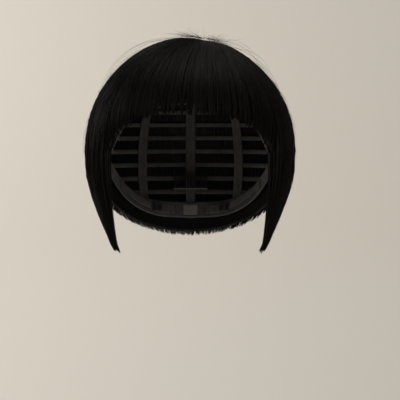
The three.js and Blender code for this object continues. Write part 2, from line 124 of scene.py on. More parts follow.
def fold(azimuth: np.ndarray) -> np.ndarray:
    """The same place on the left half of the head, from 0 at the forehead to 180 at the nape."""
    return np.abs(np.mod(np.asarray(azimuth, float) + 180, 360) - 180)


def smooth(value: np.ndarray, low: float, high: float) -> np.ndarray:
    """A smooth step from 0 at low to 1 at high."""
    share = np.clip((np.asarray(value, float) - low) / (high - low), 0, 1)
    return share * share * (3 - 2 * share)


def unit(vectors: np.ndarray) -> np.ndarray:
    """The vectors at length 1."""
    return vectors / np.maximum(np.linalg.norm(vectors, axis=-1, keepdims=True), 1e-12)


@dataclass(frozen=True)
class HeadForm:
    """The head that the cap fits."""

    half_width: float = 0.077
    half_length: float = 0.097
    height: float = 0.1
    tuck_drop: float = 0.075
    cheek_tuck: float = 0.08
    nape_tuck: float = 0.3
    whorl: tuple[float, float] = (0.011, -0.002)

    @property
    def degree(self) -> float:
        """The length of one degree of reach."""
        return self.height * DEGREE

    def skin(self, azimuth: np.ndarray, reach: np.ndarray) -> np.ndarray:
        """The head's surface.

        Args:
            azimuth: Degrees round the head.
            reach: Degrees down from the top.

        Returns:
            The points, with x, y and z on the last axis.
        """
        turn, fall = np.broadcast_arrays(np.radians(azimuth), np.radians(reach))
        down = np.maximum(0, fall - math.pi / 2) * self.height
        behind = np.maximum(0, -np.cos(turn))
        tuck = self.cheek_tuck + (self.nape_tuck - self.cheek_tuck) * behind**2
        across = np.sin(np.minimum(fall, math.pi / 2)) * (1 - tuck * (down / self.tuck_drop) ** 2)
        height = np.where(down > 0, -down, self.height * np.cos(fall))
        return np.stack([self.half_width * across * np.sin(turn),
                         -self.half_length * across * np.cos(turn), height], -1)

    def outward(self, azimuth: np.ndarray, reach: np.ndarray) -> np.ndarray:
        """The unit vectors out of the head at places on its surface."""
        probe = 0.5
        reach = np.maximum(reach, probe)
        along = self.skin(azimuth + probe, reach) - self.skin(azimuth - probe, reach)
        down = self.skin(azimuth, reach + probe) - self.skin(azimuth, reach - probe)
        return unit(np.cross(down, along))

    def place(self, azimuth: np.ndarray, reach: np.ndarray, lift: np.ndarray) -> np.ndarray:
        """The points at a lift outside the head's surface."""
        return self.skin(azimuth, reach) + self.outward(azimuth, reach) * np.expand_dims(lift, -1)

    def flow(self, azimuth: np.ndarray, reach: np.ndarray) -> tuple[np.ndarray, np.ndarray]:
        """The head's surface as the hair lies on it, radiating from the whorl.

        Args:
            azimuth: Degrees round the whorl.
            reach: Degrees down from the whorl.

        Returns:
            The points and the unit vectors out of the head there.
        """
        point = self.skin(azimuth, reach)
        share = np.clip(1 - reach / 90, 0, 1)[..., None] ** 2
        point = point + share * np.array([self.whorl[0], self.whorl[1], 0])
        axes = np.array([self.half_width, self.half_length, self.height])
        inside = 1 - ((point[..., :2] / axes[:2]) ** 2).sum(-1)
        dome = self.height * np.sqrt(np.maximum(inside, 0))
        point[..., 2] = np.where(reach < 90, dome, point[..., 2])
        above = unit(point / axes**2)
        return point, np.where((reach < 90)[..., None], above, self.outward(azimuth, reach))

    def reach_at(self, height: np.ndarray) -> np.ndarray:
        """The reach of a height above the widest level."""
        over = np.degrees(np.arccos(np.clip(height / self.height, 0, 1)))
        return np.where(height > 0, over, 90 - height / self.degree)

    def turn_of(self, length: float) -> float:
        """The degrees of azimuth that a length covers at the side of the head."""
        return math.degrees(length / self.half_width)


@dataclass(frozen=True)
class HairOutline:
    """The wig's haircut: how far the hair stands off the head, and where it is cut."""

    head: HeadForm
    inner_lift: float = 4.9 * MM
    top_lift: float = 12 * MM
    shoulder: float = 1.8 * MM
    cut_lift: float = 8 * MM
    cut_taper: float = 28 * MM
    lock_tip_lift: float = 3 * MM
    lock_thinning: float = 0.95
    shoulder_drop: float = 1.9
    full_from: float = 15
    full_by: float = 65
    tip_inner_lift: float = 2.2 * MM
    tip_taper: float = 7 * MM
    face_edge: float = 57
    lock_end: float = 82
    side_end: float = 100
    lock_top: float = -7 * MM
    lock_tip: float = -71 * MM
    level_lift: StopCurve = StopCurve(((0, 11), (45, 13), (90, 14.5), (135, 18), (180, 19.5)))
    fringe_cut: StopCurve = StopCurve((
        (0, 41), (22, 40.5), (33, 37), (41, 32), (46, 28), (49, 24), (53, 16), (56, 6), (57, -2)))
    back_cut: StopCurve = StopCurve((
        (57, -71), (60, -61), (63, -53), (68, -40.5), (73.5, -28), (79, -18), (84, -15),
        (92, -14.5), (102, -17), (115, -32), (135, -50), (160, -60), (180, -62)))

    def cut_height(self, azimuth: np.ndarray) -> np.ndarray:
        """The height of the cut line at each azimuth."""
        is_fringe = fold(azimuth) < self.face_edge
        return np.where(is_fringe, self.fringe_cut(azimuth), self.back_cut(azimuth)) * MM

    def cut_reach(self, azimuth: np.ndarray) -> np.ndarray:
        """The reach of the cut line at each azimuth."""
        return self.head.reach_at(self.cut_height(azimuth))

    def outer(self, azimuth: np.ndarray, reach: np.ndarray, cut: np.ndarray) -> np.ndarray:
        """The lift of the hair's outside.

        Args:
            azimuth: Degrees round the head.
            reach: Degrees down from the top.
            cut: The reach at which the hair there is cut.

        Returns:
            The lift, full at the sides and thinner at the cut and at a lock's tip.
        """
        share = smooth(reach, self.full_from, self.full_by)
        towards_level = (np.minimum(reach, 90) / 90) ** self.shoulder_drop
        shoulder = self.shoulder * np.sin(math.pi * towards_level) ** 2
        uncut = self.top_lift + (self.level_lift(azimuth) * MM - self.top_lift) * share + shoulder
        to_tip = 1 + np.maximum(reach - 90, 0) * self.head.degree / self.lock_tip
        thin = np.clip(to_tip, 0, 1) ** self.lock_thinning
        full = self.lock_tip_lift + (uncut - self.lock_tip_lift) * np.where(
            fold(azimuth) > self.lock_end, 1, thin)
        to_cut = np.clip((cut - reach) * self.head.degree / self.cut_taper, 0, 1)
        at_cut = np.minimum(self.cut_lift, full)
        return at_cut + (full - at_cut) * np.sqrt(to_cut)

    def inner(self, reach: np.ndarray, cut: np.ndarray) -> np.ndarray:
        """The lift of the hair's inside, which closes in on the skin near the cut."""
        to_cut = np.clip((cut - reach) * self.head.degree / self.tip_taper, 0, 1)
        return self.tip_inner_lift + (self.inner_lift - self.tip_inner_lift) * to_cut

    def core(self, azimuth: np.ndarray, reach: np.ndarray, cut: np.ndarray) -> np.ndarray:
        """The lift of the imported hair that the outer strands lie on."""
        inner = self.inner(reach, cut)
        return inner + (self.outer(azimuth, reach, cut) - inner) * 0.5


# ---------------------------------------------------------------- node graphs


class Graph:
    """Places and links the nodes of one shader or geometry tree."""

    def __init__(self, tree: bpy.types.NodeTree) -> None:
        """Starts on a tree.

        Args:
            tree: The node tree that receives the nodes.
        """
        self.tree = tree

    def add(self, kind: str, inputs: dict[str, Any] | None = None, **settings: Any) -> bpy.types.Node:
        """Adds a node.

        Args:
            kind: The node's type name.
            inputs: Values or output sockets for the node's inputs, by socket identifier.
            **settings: Values for the node's own properties.

        Returns:
            The new node.
        """
        node = self.tree.nodes.new(kind)
        for name, value in settings.items():
            setattr(node, name, value)
        sockets = {socket.identifier: socket for socket in node.inputs}
        for name, value in (inputs or {}).items():
            self.join(value, sockets[name])
        return node

    def math(self, operation: str, first: Any, second: Any = 0.0) -> bpy.types.NodeSocket:
        """The result of a Math node."""
        node = self.add("ShaderNodeMath", {"Value": first, "Value_001": second}, operation=operation)
        return node.outputs[0]

    def scaled(self, vector: Any, factor: Any) -> bpy.types.NodeSocket:
        """A vector times a number."""
        inputs = {"Vector": vector, "Scale": factor}
        return self.add("ShaderNodeVectorMath", inputs, operation="SCALE").outputs[0]

    def sum(self, first: Any, second: Any) -> bpy.types.NodeSocket:
        """The sum of two vectors."""
        inputs = {"Vector": first, "Vector_001": second}
        return self.add("ShaderNodeVectorMath", inputs, operation="ADD").outputs[0]

    def mix(self, factor: Any, first: Any, second: Any) -> bpy.types.NodeSocket:
        """A number between two others."""
        inputs = {"Factor_Float": factor, "A_Float": first, "B_Float": second}
        return self.add("ShaderNodeMix", inputs).outputs[0]

    def mix_colour(self, factor: Any, first: Any, second: Any) -> bpy.types.NodeSocket:
        """A colour between two others."""
        inputs = {"Factor_Float": factor, "A_Color": first, "B_Color": second}
        return self.add("ShaderNodeMix", inputs, data_type="RGBA").outputs[2]

    def join(self, value: Any, socket: bpy.types.NodeSocket) -> None:
        """Links an output to an input, or sets the input's own value."""
        if isinstance(value, bpy.types.NodeSocket):
            self.tree.links.new(value, socket)
        else:
            socket.default_value = value


class GrowthTree(Graph):
    """A Geometry Nodes tree with named inputs, used once or more to make plain meshes."""

    def __init__(self, name: str) -> None:
        """Starts an empty tree.

        Args:
            name: The tree's name.
        """
        super().__init__(bpy.data.node_groups.new(name, "GeometryNodeTree"))
        self.entry = self.add("NodeGroupInput")
        self.exit = self.add("NodeGroupOutput")
        self.geometry = self.input("Geometry", "NodeSocketGeometry")
        self.tree.interface.new_socket("Geometry", in_out="OUTPUT", socket_type="NodeSocketGeometry")

    def input(self, name: str, kind: str = "NodeSocketFloat") -> bpy.types.NodeSocket:
        """Adds a named input and gives its socket on the input node."""
        self.tree.interface.new_socket(name, in_out="INPUT", socket_type=kind)
        return self.entry.outputs[name]

    def named(self, name: str, kind: str = "FLOAT_VECTOR") -> bpy.types.NodeSocket:
        """Reads an attribute of the geometry."""
        return self.add("GeometryNodeInputNamedAttribute", {"Name": name}, data_type=kind).outputs[0]

    def store(self, geometry: bpy.types.NodeSocket, name: str, value: Any, kind: str = "FLOAT",
              domain: str = "POINT") -> bpy.types.NodeSocket:
        """Writes an attribute on the geometry."""
        inputs = {"Geometry": geometry, "Name": name, "Value": value}
        return self.add("GeometryNodeStoreNamedAttribute", inputs, data_type=kind,
                        domain=domain).outputs[0]

    def per_strand(self, low: float, high: float, seed: bpy.types.NodeSocket,
                   shift: int) -> bpy.types.NodeSocket:
        """A random number that is the same along the whole of a curve.

        Args:
            low: The smallest value.
            high: The largest value.
            seed: The tree's seed input.
            shift: A number that sets this draw apart from the others.

        Returns:
            The number's socket.
        """
        chance = self.add("FunctionNodeRandomValue", {
            "Min_001": low, "Max_001": high, "Seed": self.math("ADD", seed, float(shift)),
        }, data_type="FLOAT")
        return self.add("GeometryNodeFieldOnDomain", {"Value": chance.outputs[1]},
                        domain="CURVE").outputs[0]

    def as_lines(self, mesh: bpy.types.NodeSocket) -> bpy.types.NodeSocket:
        """The curves along a mesh's edges."""
        return self.add("GeometryNodeMeshToCurve", {"Mesh": mesh}).outputs[0]

    def ring(self, radius: Any, sides: Any) -> bpy.types.NodeSocket:
        """The round cross-section of a thread."""
        inputs = {"Resolution": sides, "Radius": radius}
        return self.add("GeometryNodeCurvePrimitiveCircle", inputs, mode="RADIUS").outputs[0]

    def sweep(self, lines: bpy.types.NodeSocket, ring: bpy.types.NodeSocket,
              **inputs: Any) -> bpy.types.NodeSocket:
        """The closed tube that a cross-section makes along lines."""
        return self.add("GeometryNodeCurveToMesh", {
            "Curve": lines, "Profile Curve": ring, "Fill Caps": True, **inputs}).outputs[0]

    def close(self, geometry: bpy.types.NodeSocket, material: bpy.types.NodeSocket) -> None:
        """Ends the tree with plain geometry of one material."""
        real = self.add("GeometryNodeRealizeInstances", {"Geometry": geometry})
        dressed = self.add("GeometryNodeSetMaterial", {
            "Geometry": real.outputs[0], "Material": material})
        self.tree.links.new(dressed.outputs[0], self.exit.inputs[0])

    def grow(self, source: bpy.types.Object, name: str, **values: Any) -> bpy.types.Object:
        """Runs the tree on an object and keeps the result as a plain mesh.

        Args:
            source: The object that the tree starts from, which is removed.
            name: The new piece's name.
            **values: The tree's inputs by name, with _ for a space.

        Returns:
            The new piece.
        """
        modifier = source.modifiers.new(self.tree.name, "NODES")
        modifier.node_group = self.tree
        places = {item.name.lower().replace(" ", "_"): item.identifier
                  for item in self.tree.interface.items_tree if item.in_out == "INPUT"}
        for key, value in values.items():
            modifier[places[key]] = value
        bpy.context.view_layer.update()
        graph = bpy.context.evaluated_depsgraph_get()
        mesh = bpy.data.meshes.new_from_object(source.evaluated_get(graph), depsgraph=graph)
        bpy.data.objects.remove(source)
        mesh.name = name
        piece = bpy.data.objects.new(name, mesh)
        bpy.context.scene.collection.objects.link(piece)
        return piece


class StrandTree(GrowthTree):
    """Turns guide lines into tapered strands that scatter round each guide."""

    chart_edge = 0.02
    chart_span = 0.96
    strand_column = 0.015

    def __init__(self) -> None:
        """Builds the tree's nodes."""
        super().__init__("strand growth")
        copies = self.input("Copies", "NodeSocketInt")
        spread_root = self.input("Spread Root")
        spread_tip = self.input("Spread Tip")
        depth = self.input("Depth")
        wander = self.input("Wander")
        wave_length = self.input("Wave Length")
        trim = self.input("Trim")
        radius = self.input("Radius")
        tip_width = self.input("Tip Width")
        seed = self.input("Seed", "NodeSocketInt")
        material = self.input("Material", "NodeSocketMaterial")

        lines = self.as_lines(self.geometry)
        strands = self.add("GeometryNodeDuplicateElements", {"Geometry": lines, "Amount": copies},
                           domain="SPLINE").outputs[0]
        along = self.named("along", "FLOAT")
        side, out = self.named("side"), self.named("out")
        spread = self.mix(along, spread_root, spread_tip)
        crossing = self.mix(along, self.per_strand(-1, 1, seed, 1), self.per_strand(-1, 1, seed, 2))
        sideways = self.scaled(side, self.math("MULTIPLY", crossing, spread))
        outward = self.scaled(out, self.math("MULTIPLY", self.per_strand(-1, 1, seed, 3), depth))
        position = self.add("GeometryNodeInputPosition").outputs[0]
        own = self.add("ShaderNodeCombineXYZ", {
            "X": self.per_strand(-9, 9, seed, 4), "Y": self.per_strand(-9, 9, seed, 5)}).outputs[0]
        noise = self.add("ShaderNodeTexNoise", {
            "Vector": self.sum(self.scaled(position, self.math("DIVIDE", 1.0, wave_length)), own),
            "Scale": 1.0, "Detail": 1.0})
        centred = self.sum(noise.outputs["Color"], (-0.5, -0.5, -0.5))
        strayed = self.scaled(centred, self.math("MULTIPLY", wander, along))
        offset = self.sum(self.sum(sideways, outward), strayed)
        moved = self.add("GeometryNodeSetPosition", {"Geometry": strands, "Offset": offset}).outputs[0]
        end = self.math("SUBTRACT", 1.0, self.math("MULTIPLY", self.per_strand(0, 1, seed, 6), trim))
        cut = self.add("GeometryNodeTrimCurve", {"Curve": moved, "End": end}, mode="FACTOR").outputs[0]
        factor = self.add("GeometryNodeSplineParameter").outputs[0]
        cut = self.store(cut, "down", factor)
        cut = self.store(cut, "tint", self.per_strand(self.chart_edge, self.chart_span, seed, 7))
        taper = self.mix(self.math("POWER", factor, 3.0), 1.0, tip_width)
        ring = self.store(self.ring(radius, 3), "around",
                          self.add("GeometryNodeSplineParameter").outputs[0])
        mesh = self.sweep(cut, ring, Scale=taper)
        column = self.math("ADD", self.named("tint", "FLOAT"), self.math(
            "MULTIPLY", self.named("around", "FLOAT"), self.strand_column))
        row = self.math("ADD", self.chart_edge, self.math(
            "MULTIPLY", self.named("down", "FLOAT"), self.chart_span))
        chart = self.add("ShaderNodeCombineXYZ", {"X": column, "Y": row}).outputs[0]
        mesh = self.store(mesh, BAKE_MAP, chart, "FLOAT2", "CORNER")
        for name in ("along", "side", "out", "down", "tint", "around"):
            mesh = self.add("GeometryNodeRemoveAttribute", {"Geometry": mesh, "Name": name}).outputs[0]
        self.close(mesh, material)


class ThreadTree(GrowthTree):
    """Turns lines into round thread or wire."""

    def __init__(self) -> None:
        """Builds the tree's nodes."""
        super().__init__("thread")
        radius = self.input("Radius")
        sides = self.input("Sides", "NodeSocketInt")
        material = self.input("Material", "NodeSocketMaterial")
        self.close(self.sweep(self.as_lines(self.geometry), self.ring(radius, sides)), material)


class StitchTree(GrowthTree):
    """Lays a row of short stitches along lines."""

    def __init__(self) -> None:
        """Builds the tree's nodes."""
        super().__init__("stitching")
        pitch = self.input("Pitch")
        length = self.input("Length")
        radius = self.input("Radius")
        material = self.input("Material", "NodeSocketMaterial")
        inputs = {"Curve": self.as_lines(self.geometry), "Length": pitch}
        steps = self.add("GeometryNodeResampleCurve", inputs, mode="LENGTH").outputs[0]
        steps = self.store(steps, "heading", self.add("GeometryNodeInputTangent").outputs[0],
                           "FLOAT_VECTOR")
        turn = self.add("FunctionNodeAlignRotationToVector", {"Vector": self.named("heading")},
                        axis="X").outputs[0]
        bead = self.add("GeometryNodeMeshUVSphere", {"Segments": 6, "Rings": 4, "Radius": 0.5}).outputs[0]
        width = self.math("MULTIPLY", radius, 2.0)
        size = self.add("ShaderNodeCombineXYZ", {"X": length, "Y": width, "Z": width}).outputs[0]
        rows = self.add("GeometryNodeInstanceOnPoints", {
            "Points": steps, "Instance": bead, "Rotation": turn, "Scale": size}).outputs[0]
        self.close(rows, material)


# ---------------------------------------------------------------- plain meshes


def link_mesh(name: str, mesh: bpy.types.Mesh) -> bpy.types.Object:
    """Puts a mesh in the scene as an object at the origin."""
    piece = bpy.data.objects.new(name, mesh)
    bpy.context.scene.collection.objects.link(piece)
    return piece


def guide_lines(name: str, points: np.ndarray, **vectors: np.ndarray) -> bpy.types.Object:
    """Lines of equal point counts, as a mesh of edges.

    Args:
        name: The object's name.
        points: The points, shaped lines by points by 3.
        **vectors: Point attributes of the same shape, or without the last axis for numbers.

    Returns:
        The object, for a growth tree to start from.
    """
    lines, count, _ = points.shape
    mesh = bpy.data.meshes.new(name)
    mesh.vertices.add(lines * count)
    mesh.vertices.foreach_set("co", points.astype(np.float32).ravel())
    first = (np.arange(lines)[:, None] * count + np.arange(count - 1)).ravel()
    mesh.edges.add(len(first))
    mesh.edges.foreach_set("vertices", np.stack([first, first + 1], -1).astype(np.int32).ravel())
    for key, values in vectors.items():
        is_vector = values.ndim == 3
        attribute = mesh.attributes.new(key, "FLOAT_VECTOR" if is_vector else "FLOAT", "POINT")
        attribute.data.foreach_set("vector" if is_vector else "value",
                                   values.astype(np.float32).ravel())
    return link_mesh(name, mesh)


def grid_mesh(name: str, sheets: Sequence[np.ndarray], chart: np.ndarray, is_ring: bool,
              material: bpy.types.Material) -> bpy.types.Object:
    """A closed shell between an outer and an inner grid of the same shape.

    Args:
        name: The piece's name.
        sheets: The outer and the inner grid, each rows by columns by 3.
        chart: The UV place of each grid point, in metres over the cloth.
        is_ring: Whether the last column meets the first.
        material: The piece's material.

    Returns:
        The shell, with its doubled points merged and its normals outward.
    """
    rows, columns, _ = sheets[0].shape
    points = np.concatenate([sheet.reshape(-1, 3) for sheet in sheets])
    index = np.arange(2 * rows * columns).reshape(2, rows, columns)

    def quads(first: np.ndarray, second: np.ndarray) -> np.ndarray:
        """The faces between two neighbouring rows of points."""
        return np.stack([first[:-1], first[1:], second[1:], second[:-1]], -1).reshape(-1, 4)

    faces = []
    for row in range(rows - 1):
        faces.append(quads(index[0, row + 1], index[0, row]))
        faces.append(quads(index[1, row], index[1, row + 1]))
    faces.append(quads(index[0, 0], index[1, 0]))
    faces.append(quads(index[1, -1], index[0, -1]))
    if not is_ring:
        faces.append(quads(index[1, :, 0], index[0, :, 0]))
        faces.append(quads(index[0, :, -1], index[1, :, -1]))
    faces = np.concatenate(faces)
    mesh = bpy.data.meshes.new(name)
    mesh.from_pydata(points.tolist(), [], faces.tolist())
    layer = mesh.uv_layers.new(name=CLOTH_MAP)
    places = np.concatenate([chart.reshape(-1, 2)] * 2)
    layer.data.foreach_set("uv", places[faces.ravel()].astype(np.float32).ravel())
    merge_and_orient(mesh)
    mesh.materials.append(material)
    mesh.shade_smooth()
    return link_mesh(name, mesh)


def merge_and_orient(mesh: bpy.types.Mesh) -> None:
    """Merges doubled points, drops empty faces and makes the faces point outwards."""
    work = bmesh.new()
    work.from_mesh(mesh)
    bmesh.ops.remove_doubles(work, verts=work.verts, dist=1e-6)
    bmesh.ops.dissolve_degenerate(work, dist=1e-7, edges=work.edges)
    if work.calc_volume(signed=True) < 0:
        bmesh.ops.reverse_faces(work, faces=work.faces)
    work.to_mesh(mesh)
    work.free()


@dataclass(frozen=True)
class Patch:
    """A curved shell on the head between two azimuths and two edges."""

    head: HeadForm
    start: float
    end: float
    upper: Field
    lower: Field
    inner: LiftField
    outer: LiftField
    step: float = 2.0
    row_length: float = 0.003
    extra_columns: tuple[float, ...] = ()

    def build(self, name: str, material: bpy.types.Material) -> bpy.types.Object:
        """Makes the shell, with its border rounded over half its thickness.

        Args:
            name: The piece's name.
            material: The piece's material.

        Returns:
            The finished piece.
        """
        is_ring = self.end - self.start >= 360
        count = max(2, round((self.end - self.start) / self.step) + 1)
        columns = np.unique(np.concatenate([
            np.linspace(self.start, self.end, count), np.array(self.extra_columns, float)]))
        upper, lower = self.upper(columns), self.lower(columns)
        length = float(np.max(lower - upper)) * self.head.degree
        thick = float(np.mean(self.outer(columns, lower) - self.inner(columns, lower)))
        soft = min(max(thick, 0.0002) / 2, length / 4)
        between = np.linspace(0, 1, max(2, round(length / self.row_length) + 1))
        rim = np.array([0.0, 0.3, 1.0]) * soft / length
        shares = np.unique(np.concatenate([rim, between[1:-1], 1 - rim]))
        has_pole = bool(np.all(upper == 0))
        if has_pole:
            shares = shares[(shares == 0) | (shares > rim[-1])]
        reach = upper + (lower - upper) * shares[:, None]
        azimuth = np.broadcast_to(columns, reach.shape)
        from_top = np.full_like(shares, 1.0) if has_pole else np.clip(shares * length / soft, 0, 1)
        edge = np.minimum(from_top, np.clip((1 - shares) * length / soft, 0, 1))
        fullness = (0.35 + 0.65 * np.sqrt(1 - (1 - edge) ** 2))[:, None]
        inner, outer = self.inner(azimuth, reach), self.outer(azimuth, reach)
        middle, half = (inner + outer) / 2, (outer - inner) / 2 * fullness
        sheets = [self.head.place(azimuth, reach, middle + half),
                  self.head.place(azimuth, reach, middle - half)]
        chart = np.stack([azimuth * self.head.half_width * DEGREE, reach * self.head.degree], -1)
        return grid_mesh(name, sheets, chart, is_ring, material)


def level(lift: float) -> LiftField:
    """A lift that is the same everywhere."""
    return lambda azimuth, reach: np.full(np.broadcast(azimuth, reach).shape, lift)


# ---------------------------------------------------------------- finishes


class Cloth(Enum):
    """The ways that the cap's textiles are made."""

    TWILL = "twill"
    VELVET = "velvet"
    ELASTIC = "elastic"
    SATIN = "satin"
    TRICOT = "tricot"


class SharedGroups:
    """Shader groups that several finishes use."""

    def __init__(self) -> None:
        """Builds the groups."""
        self.weave = self.make_weave()
        self.mottle = self.make_mottle()

    @staticmethod
    def start(name: str, inputs: Sequence[tuple[str, str]], outputs: Sequence[tuple[str, str]]
              ) -> tuple[Graph, bpy.types.Node, bpy.types.Node]:
        """Starts a shader group with its sockets.

        Args:
            name: The group's name.
            inputs: The name and socket type of each input.
            outputs: The name and socket type of each output.

        Returns:
            The graph, its input node and its output node.
        """
        tree = bpy.data.node_groups.new(name, "ShaderNodeTree")
        for label, kind in inputs:
            tree.interface.new_socket(label, in_out="INPUT", socket_type=kind)
        for label, kind in outputs:
            tree.interface.new_socket(label, in_out="OUTPUT", socket_type=kind)
        graph = Graph(tree)
        return graph, graph.add("NodeGroupInput"), graph.add("NodeGroupOutput")

    def make_weave(self) -> bpy.types.NodeTree:
        """Threads that pass over and under each other along a cloth's own directions."""
        graph, entry, exit_node = self.start(
            "weave", [("Vector", "NodeSocketVector"), ("Across", "NodeSocketFloat"),
                      ("Down", "NodeSocketFloat")],
            [("Height", "NodeSocketFloat")])
        split = graph.add("ShaderNodeSeparateXYZ", {"Vector": entry.outputs["Vector"]})
        turns = []
        for axis, pitch in (("X", "Across"), ("Y", "Down")):
            phase = graph.math("DIVIDE", split.outputs[axis], entry.outputs[pitch])
            turns.append(graph.math("SINE", graph.math("MULTIPLY", phase, 2 * math.pi)))
        crossing = graph.math("MULTIPLY", turns[0], turns[1])
        height = graph.add("ShaderNodeMath", {
            "Value": crossing, "Value_001": 0.5, "Value_002": 0.5}, operation="MULTIPLY_ADD")
        graph.join(height.outputs[0], exit_node.inputs["Height"])
        return graph.tree

    def make_mottle(self) -> bpy.types.NodeTree:
        """Slow uneven tone between two colours, from dye and handling."""
        graph, entry, exit_node = self.start(
            "mottle", [("Vector", "NodeSocketVector"), ("Scale", "NodeSocketFloat"),
                       ("Tone A", "NodeSocketColor"), ("Tone B", "NodeSocketColor")],
            [("Color", "NodeSocketColor"), ("Mask", "NodeSocketFloat")])
        noise = graph.add("ShaderNodeTexNoise", {
            "Vector": entry.outputs["Vector"], "Scale": entry.outputs["Scale"], "Detail": 4.0,
            "Roughness": 0.6})
        ramp = graph.add("ShaderNodeMapRange", {
            "Value": noise.outputs[0], "From Min": 0.3, "From Max": 0.7})
        tone = graph.mix_colour(ramp.outputs[0], entry.outputs["Tone A"], entry.outputs["Tone B"])
        graph.join(tone, exit_node.inputs["Color"])
        graph.join(ramp.outputs[0], exit_node.inputs["Mask"])
        return graph.tree


def start_material(name: str) -> tuple[bpy.types.Material, Graph, bpy.types.Node]:
    """A new material with its graph and its Principled shader."""
    material = bpy.data.materials.new(name)
    material.use_nodes = True
    shader = material.node_tree.nodes["Principled BSDF"]
    return material, Graph(material.node_tree), shader


def add_relief(graph: Graph, shader: bpy.types.Node, height: bpy.types.NodeSocket,
               strength: float, distance: float) -> None:
    """Gives a shader fine relief.

    Args:
        graph: The material's graph.
        shader: The Principled shader.
        height: The relief's pattern, from 0 to 1.
        strength: How much of it shows.
        distance: Its depth in metres.
    """
    bump = graph.add("ShaderNodeBump", {
        "Height": height, "Strength": strength, "Distance": distance})
    graph.join(bump.outputs[0], shader.inputs["Normal"])


def use_group(graph: Graph, tree: bpy.types.NodeTree, inputs: dict[str, Any]) -> bpy.types.Node:
    """Places a shared group in a material.

    Args:
        graph: The material's graph.
        tree: The shared group.
        inputs: Values or sockets, by the group's input names.

    Returns:
        The group's node.
    """
    node = graph.add("ShaderNodeGroup", node_tree=tree)
    for name, value in inputs.items():
        graph.join(value, node.inputs[name])
    return node


@dataclass(frozen=True)
class HairFinish:
    """Straight synthetic hair, nearly black, a little browner towards the tips."""

    name: str = "black hair"
    root: Colour = (0.0011, 0.0010, 0.0010)
    tip: Colour = (0.0026, 0.0021, 0.0019)
    light: Colour = (0.0090, 0.0062, 0.0054)
    roughness: float = 0.42
    gloss: float = 0.095
    uses_chart: bool = True

    def build(self, groups: SharedGroups) -> bpy.types.Material:
        """Makes the material.

        Args:
            groups: The shared shader groups.

        Returns:
            The material.
        """
        material, graph, shader = start_material(self.name)
        chart = graph.add("ShaderNodeUVMap", uv_map=BAKE_MAP if self.uses_chart else CLOTH_MAP)
        split = graph.add("ShaderNodeSeparateXYZ", {"Vector": chart.outputs[0]})
        stretch = (310.0, 9.0, 1.0) if self.uses_chart else (1500.0, 60.0, 1.0)
        spread = graph.add("ShaderNodeMapping", {"Vector": chart.outputs[0], "Scale": stretch})
        fibre = graph.add("ShaderNodeTexNoise", {
            "Vector": spread.outputs[0], "Scale": 1.0, "Detail": 2.0})
        fade = split.outputs["Y"] if self.uses_chart else 0.0
        tone = graph.mix_colour(fade, (*self.root, 1), (*self.tip, 1))
        rare = graph.add("ShaderNodeMapRange", {
            "Value": fibre.outputs[0], "From Min": 0.52, "From Max": 0.78})
        mixed = graph.mix_colour(rare.outputs[0], tone, (*self.light, 1))
        rough = graph.add("ShaderNodeMapRange", {
            "Value": fibre.outputs[0], "From Min": 0.2, "From Max": 0.8,
            "To Min": self.roughness + 0.08, "To Max": self.roughness - 0.06})
        graph.join(mixed, shader.inputs["Base Color"])
        graph.join(rough.outputs[0], shader.inputs["Roughness"])
        shader.inputs["Specular IOR Level"].default_value = self.gloss
        if not self.uses_chart:
            add_relief(graph, shader, fibre.outputs[0], 1.0, 0.6 * MM)
        return material


@dataclass(frozen=True)
class ClothFinish:
    """One of the cap's textiles."""

    name: str
    cloth: Cloth
    tone_a: Colour
    tone_b: Colour
    across: float
    down: float
    relief: float
    roughness: float = 0.85
    sheen: float = 0.0

    def build(self, groups: SharedGroups) -> bpy.types.Material:
        """Makes the material.

        Args:
            groups: The shared shader groups.

        Returns:
            The material.
        """
        material, graph, shader = start_material(self.name)
        chart = graph.add("ShaderNodeUVMap", uv_map=CLOTH_MAP).outputs[0]
        lean = {Cloth.TWILL: math.radians(45), Cloth.SATIN: math.radians(12)}.get(self.cloth, 0.0)
        turned = graph.add("ShaderNodeMapping", {"Vector": chart, "Rotation": (0.0, 0.0, lean)})
        weave = use_group(graph, groups.weave, {
            "Vector": turned.outputs[0], "Across": self.across, "Down": self.down})
        place = graph.add("ShaderNodeTexCoord").outputs["Object"]
        mottle = use_group(graph, groups.mottle, {
            "Vector": place, "Scale": 260.0 if self.cloth is Cloth.VELVET else 90.0,
            "Tone A": (*self.tone_a, 1), "Tone B": (*self.tone_b, 1)})
        fuzz = graph.add("ShaderNodeTexNoise", {"Vector": place, "Scale": 1800.0, "Detail": 2.0})
        raised = graph.math("ADD", weave.outputs["Height"], graph.math(
            "MULTIPLY", fuzz.outputs[0], 1.2 if self.cloth is Cloth.VELVET else 0.3))
        # Painted highlight: the raised threads of the weave are lightened towards tone B, which leaves
        # painted shade in the hollows between them.
        thread_highlight = graph.mix_colour(graph.math("MULTIPLY", weave.outputs["Height"], 0.45),
                               mottle.outputs["Color"], (*self.tone_b, 1))
        rough = graph.add("ShaderNodeMapRange", {
            "Value": mottle.outputs["Mask"], "To Min": self.roughness - 0.06,
            "To Max": self.roughness + 0.06})
        add_relief(graph, shader, raised, 0.8, self.relief)
        graph.join(thread_highlight, shader.inputs["Base Color"])
        graph.join(rough.outputs[0], shader.inputs["Roughness"])
        shader.inputs["Sheen Weight"].default_value = self.sheen
        shader.inputs["Specular IOR Level"].default_value = 0.3
        return material


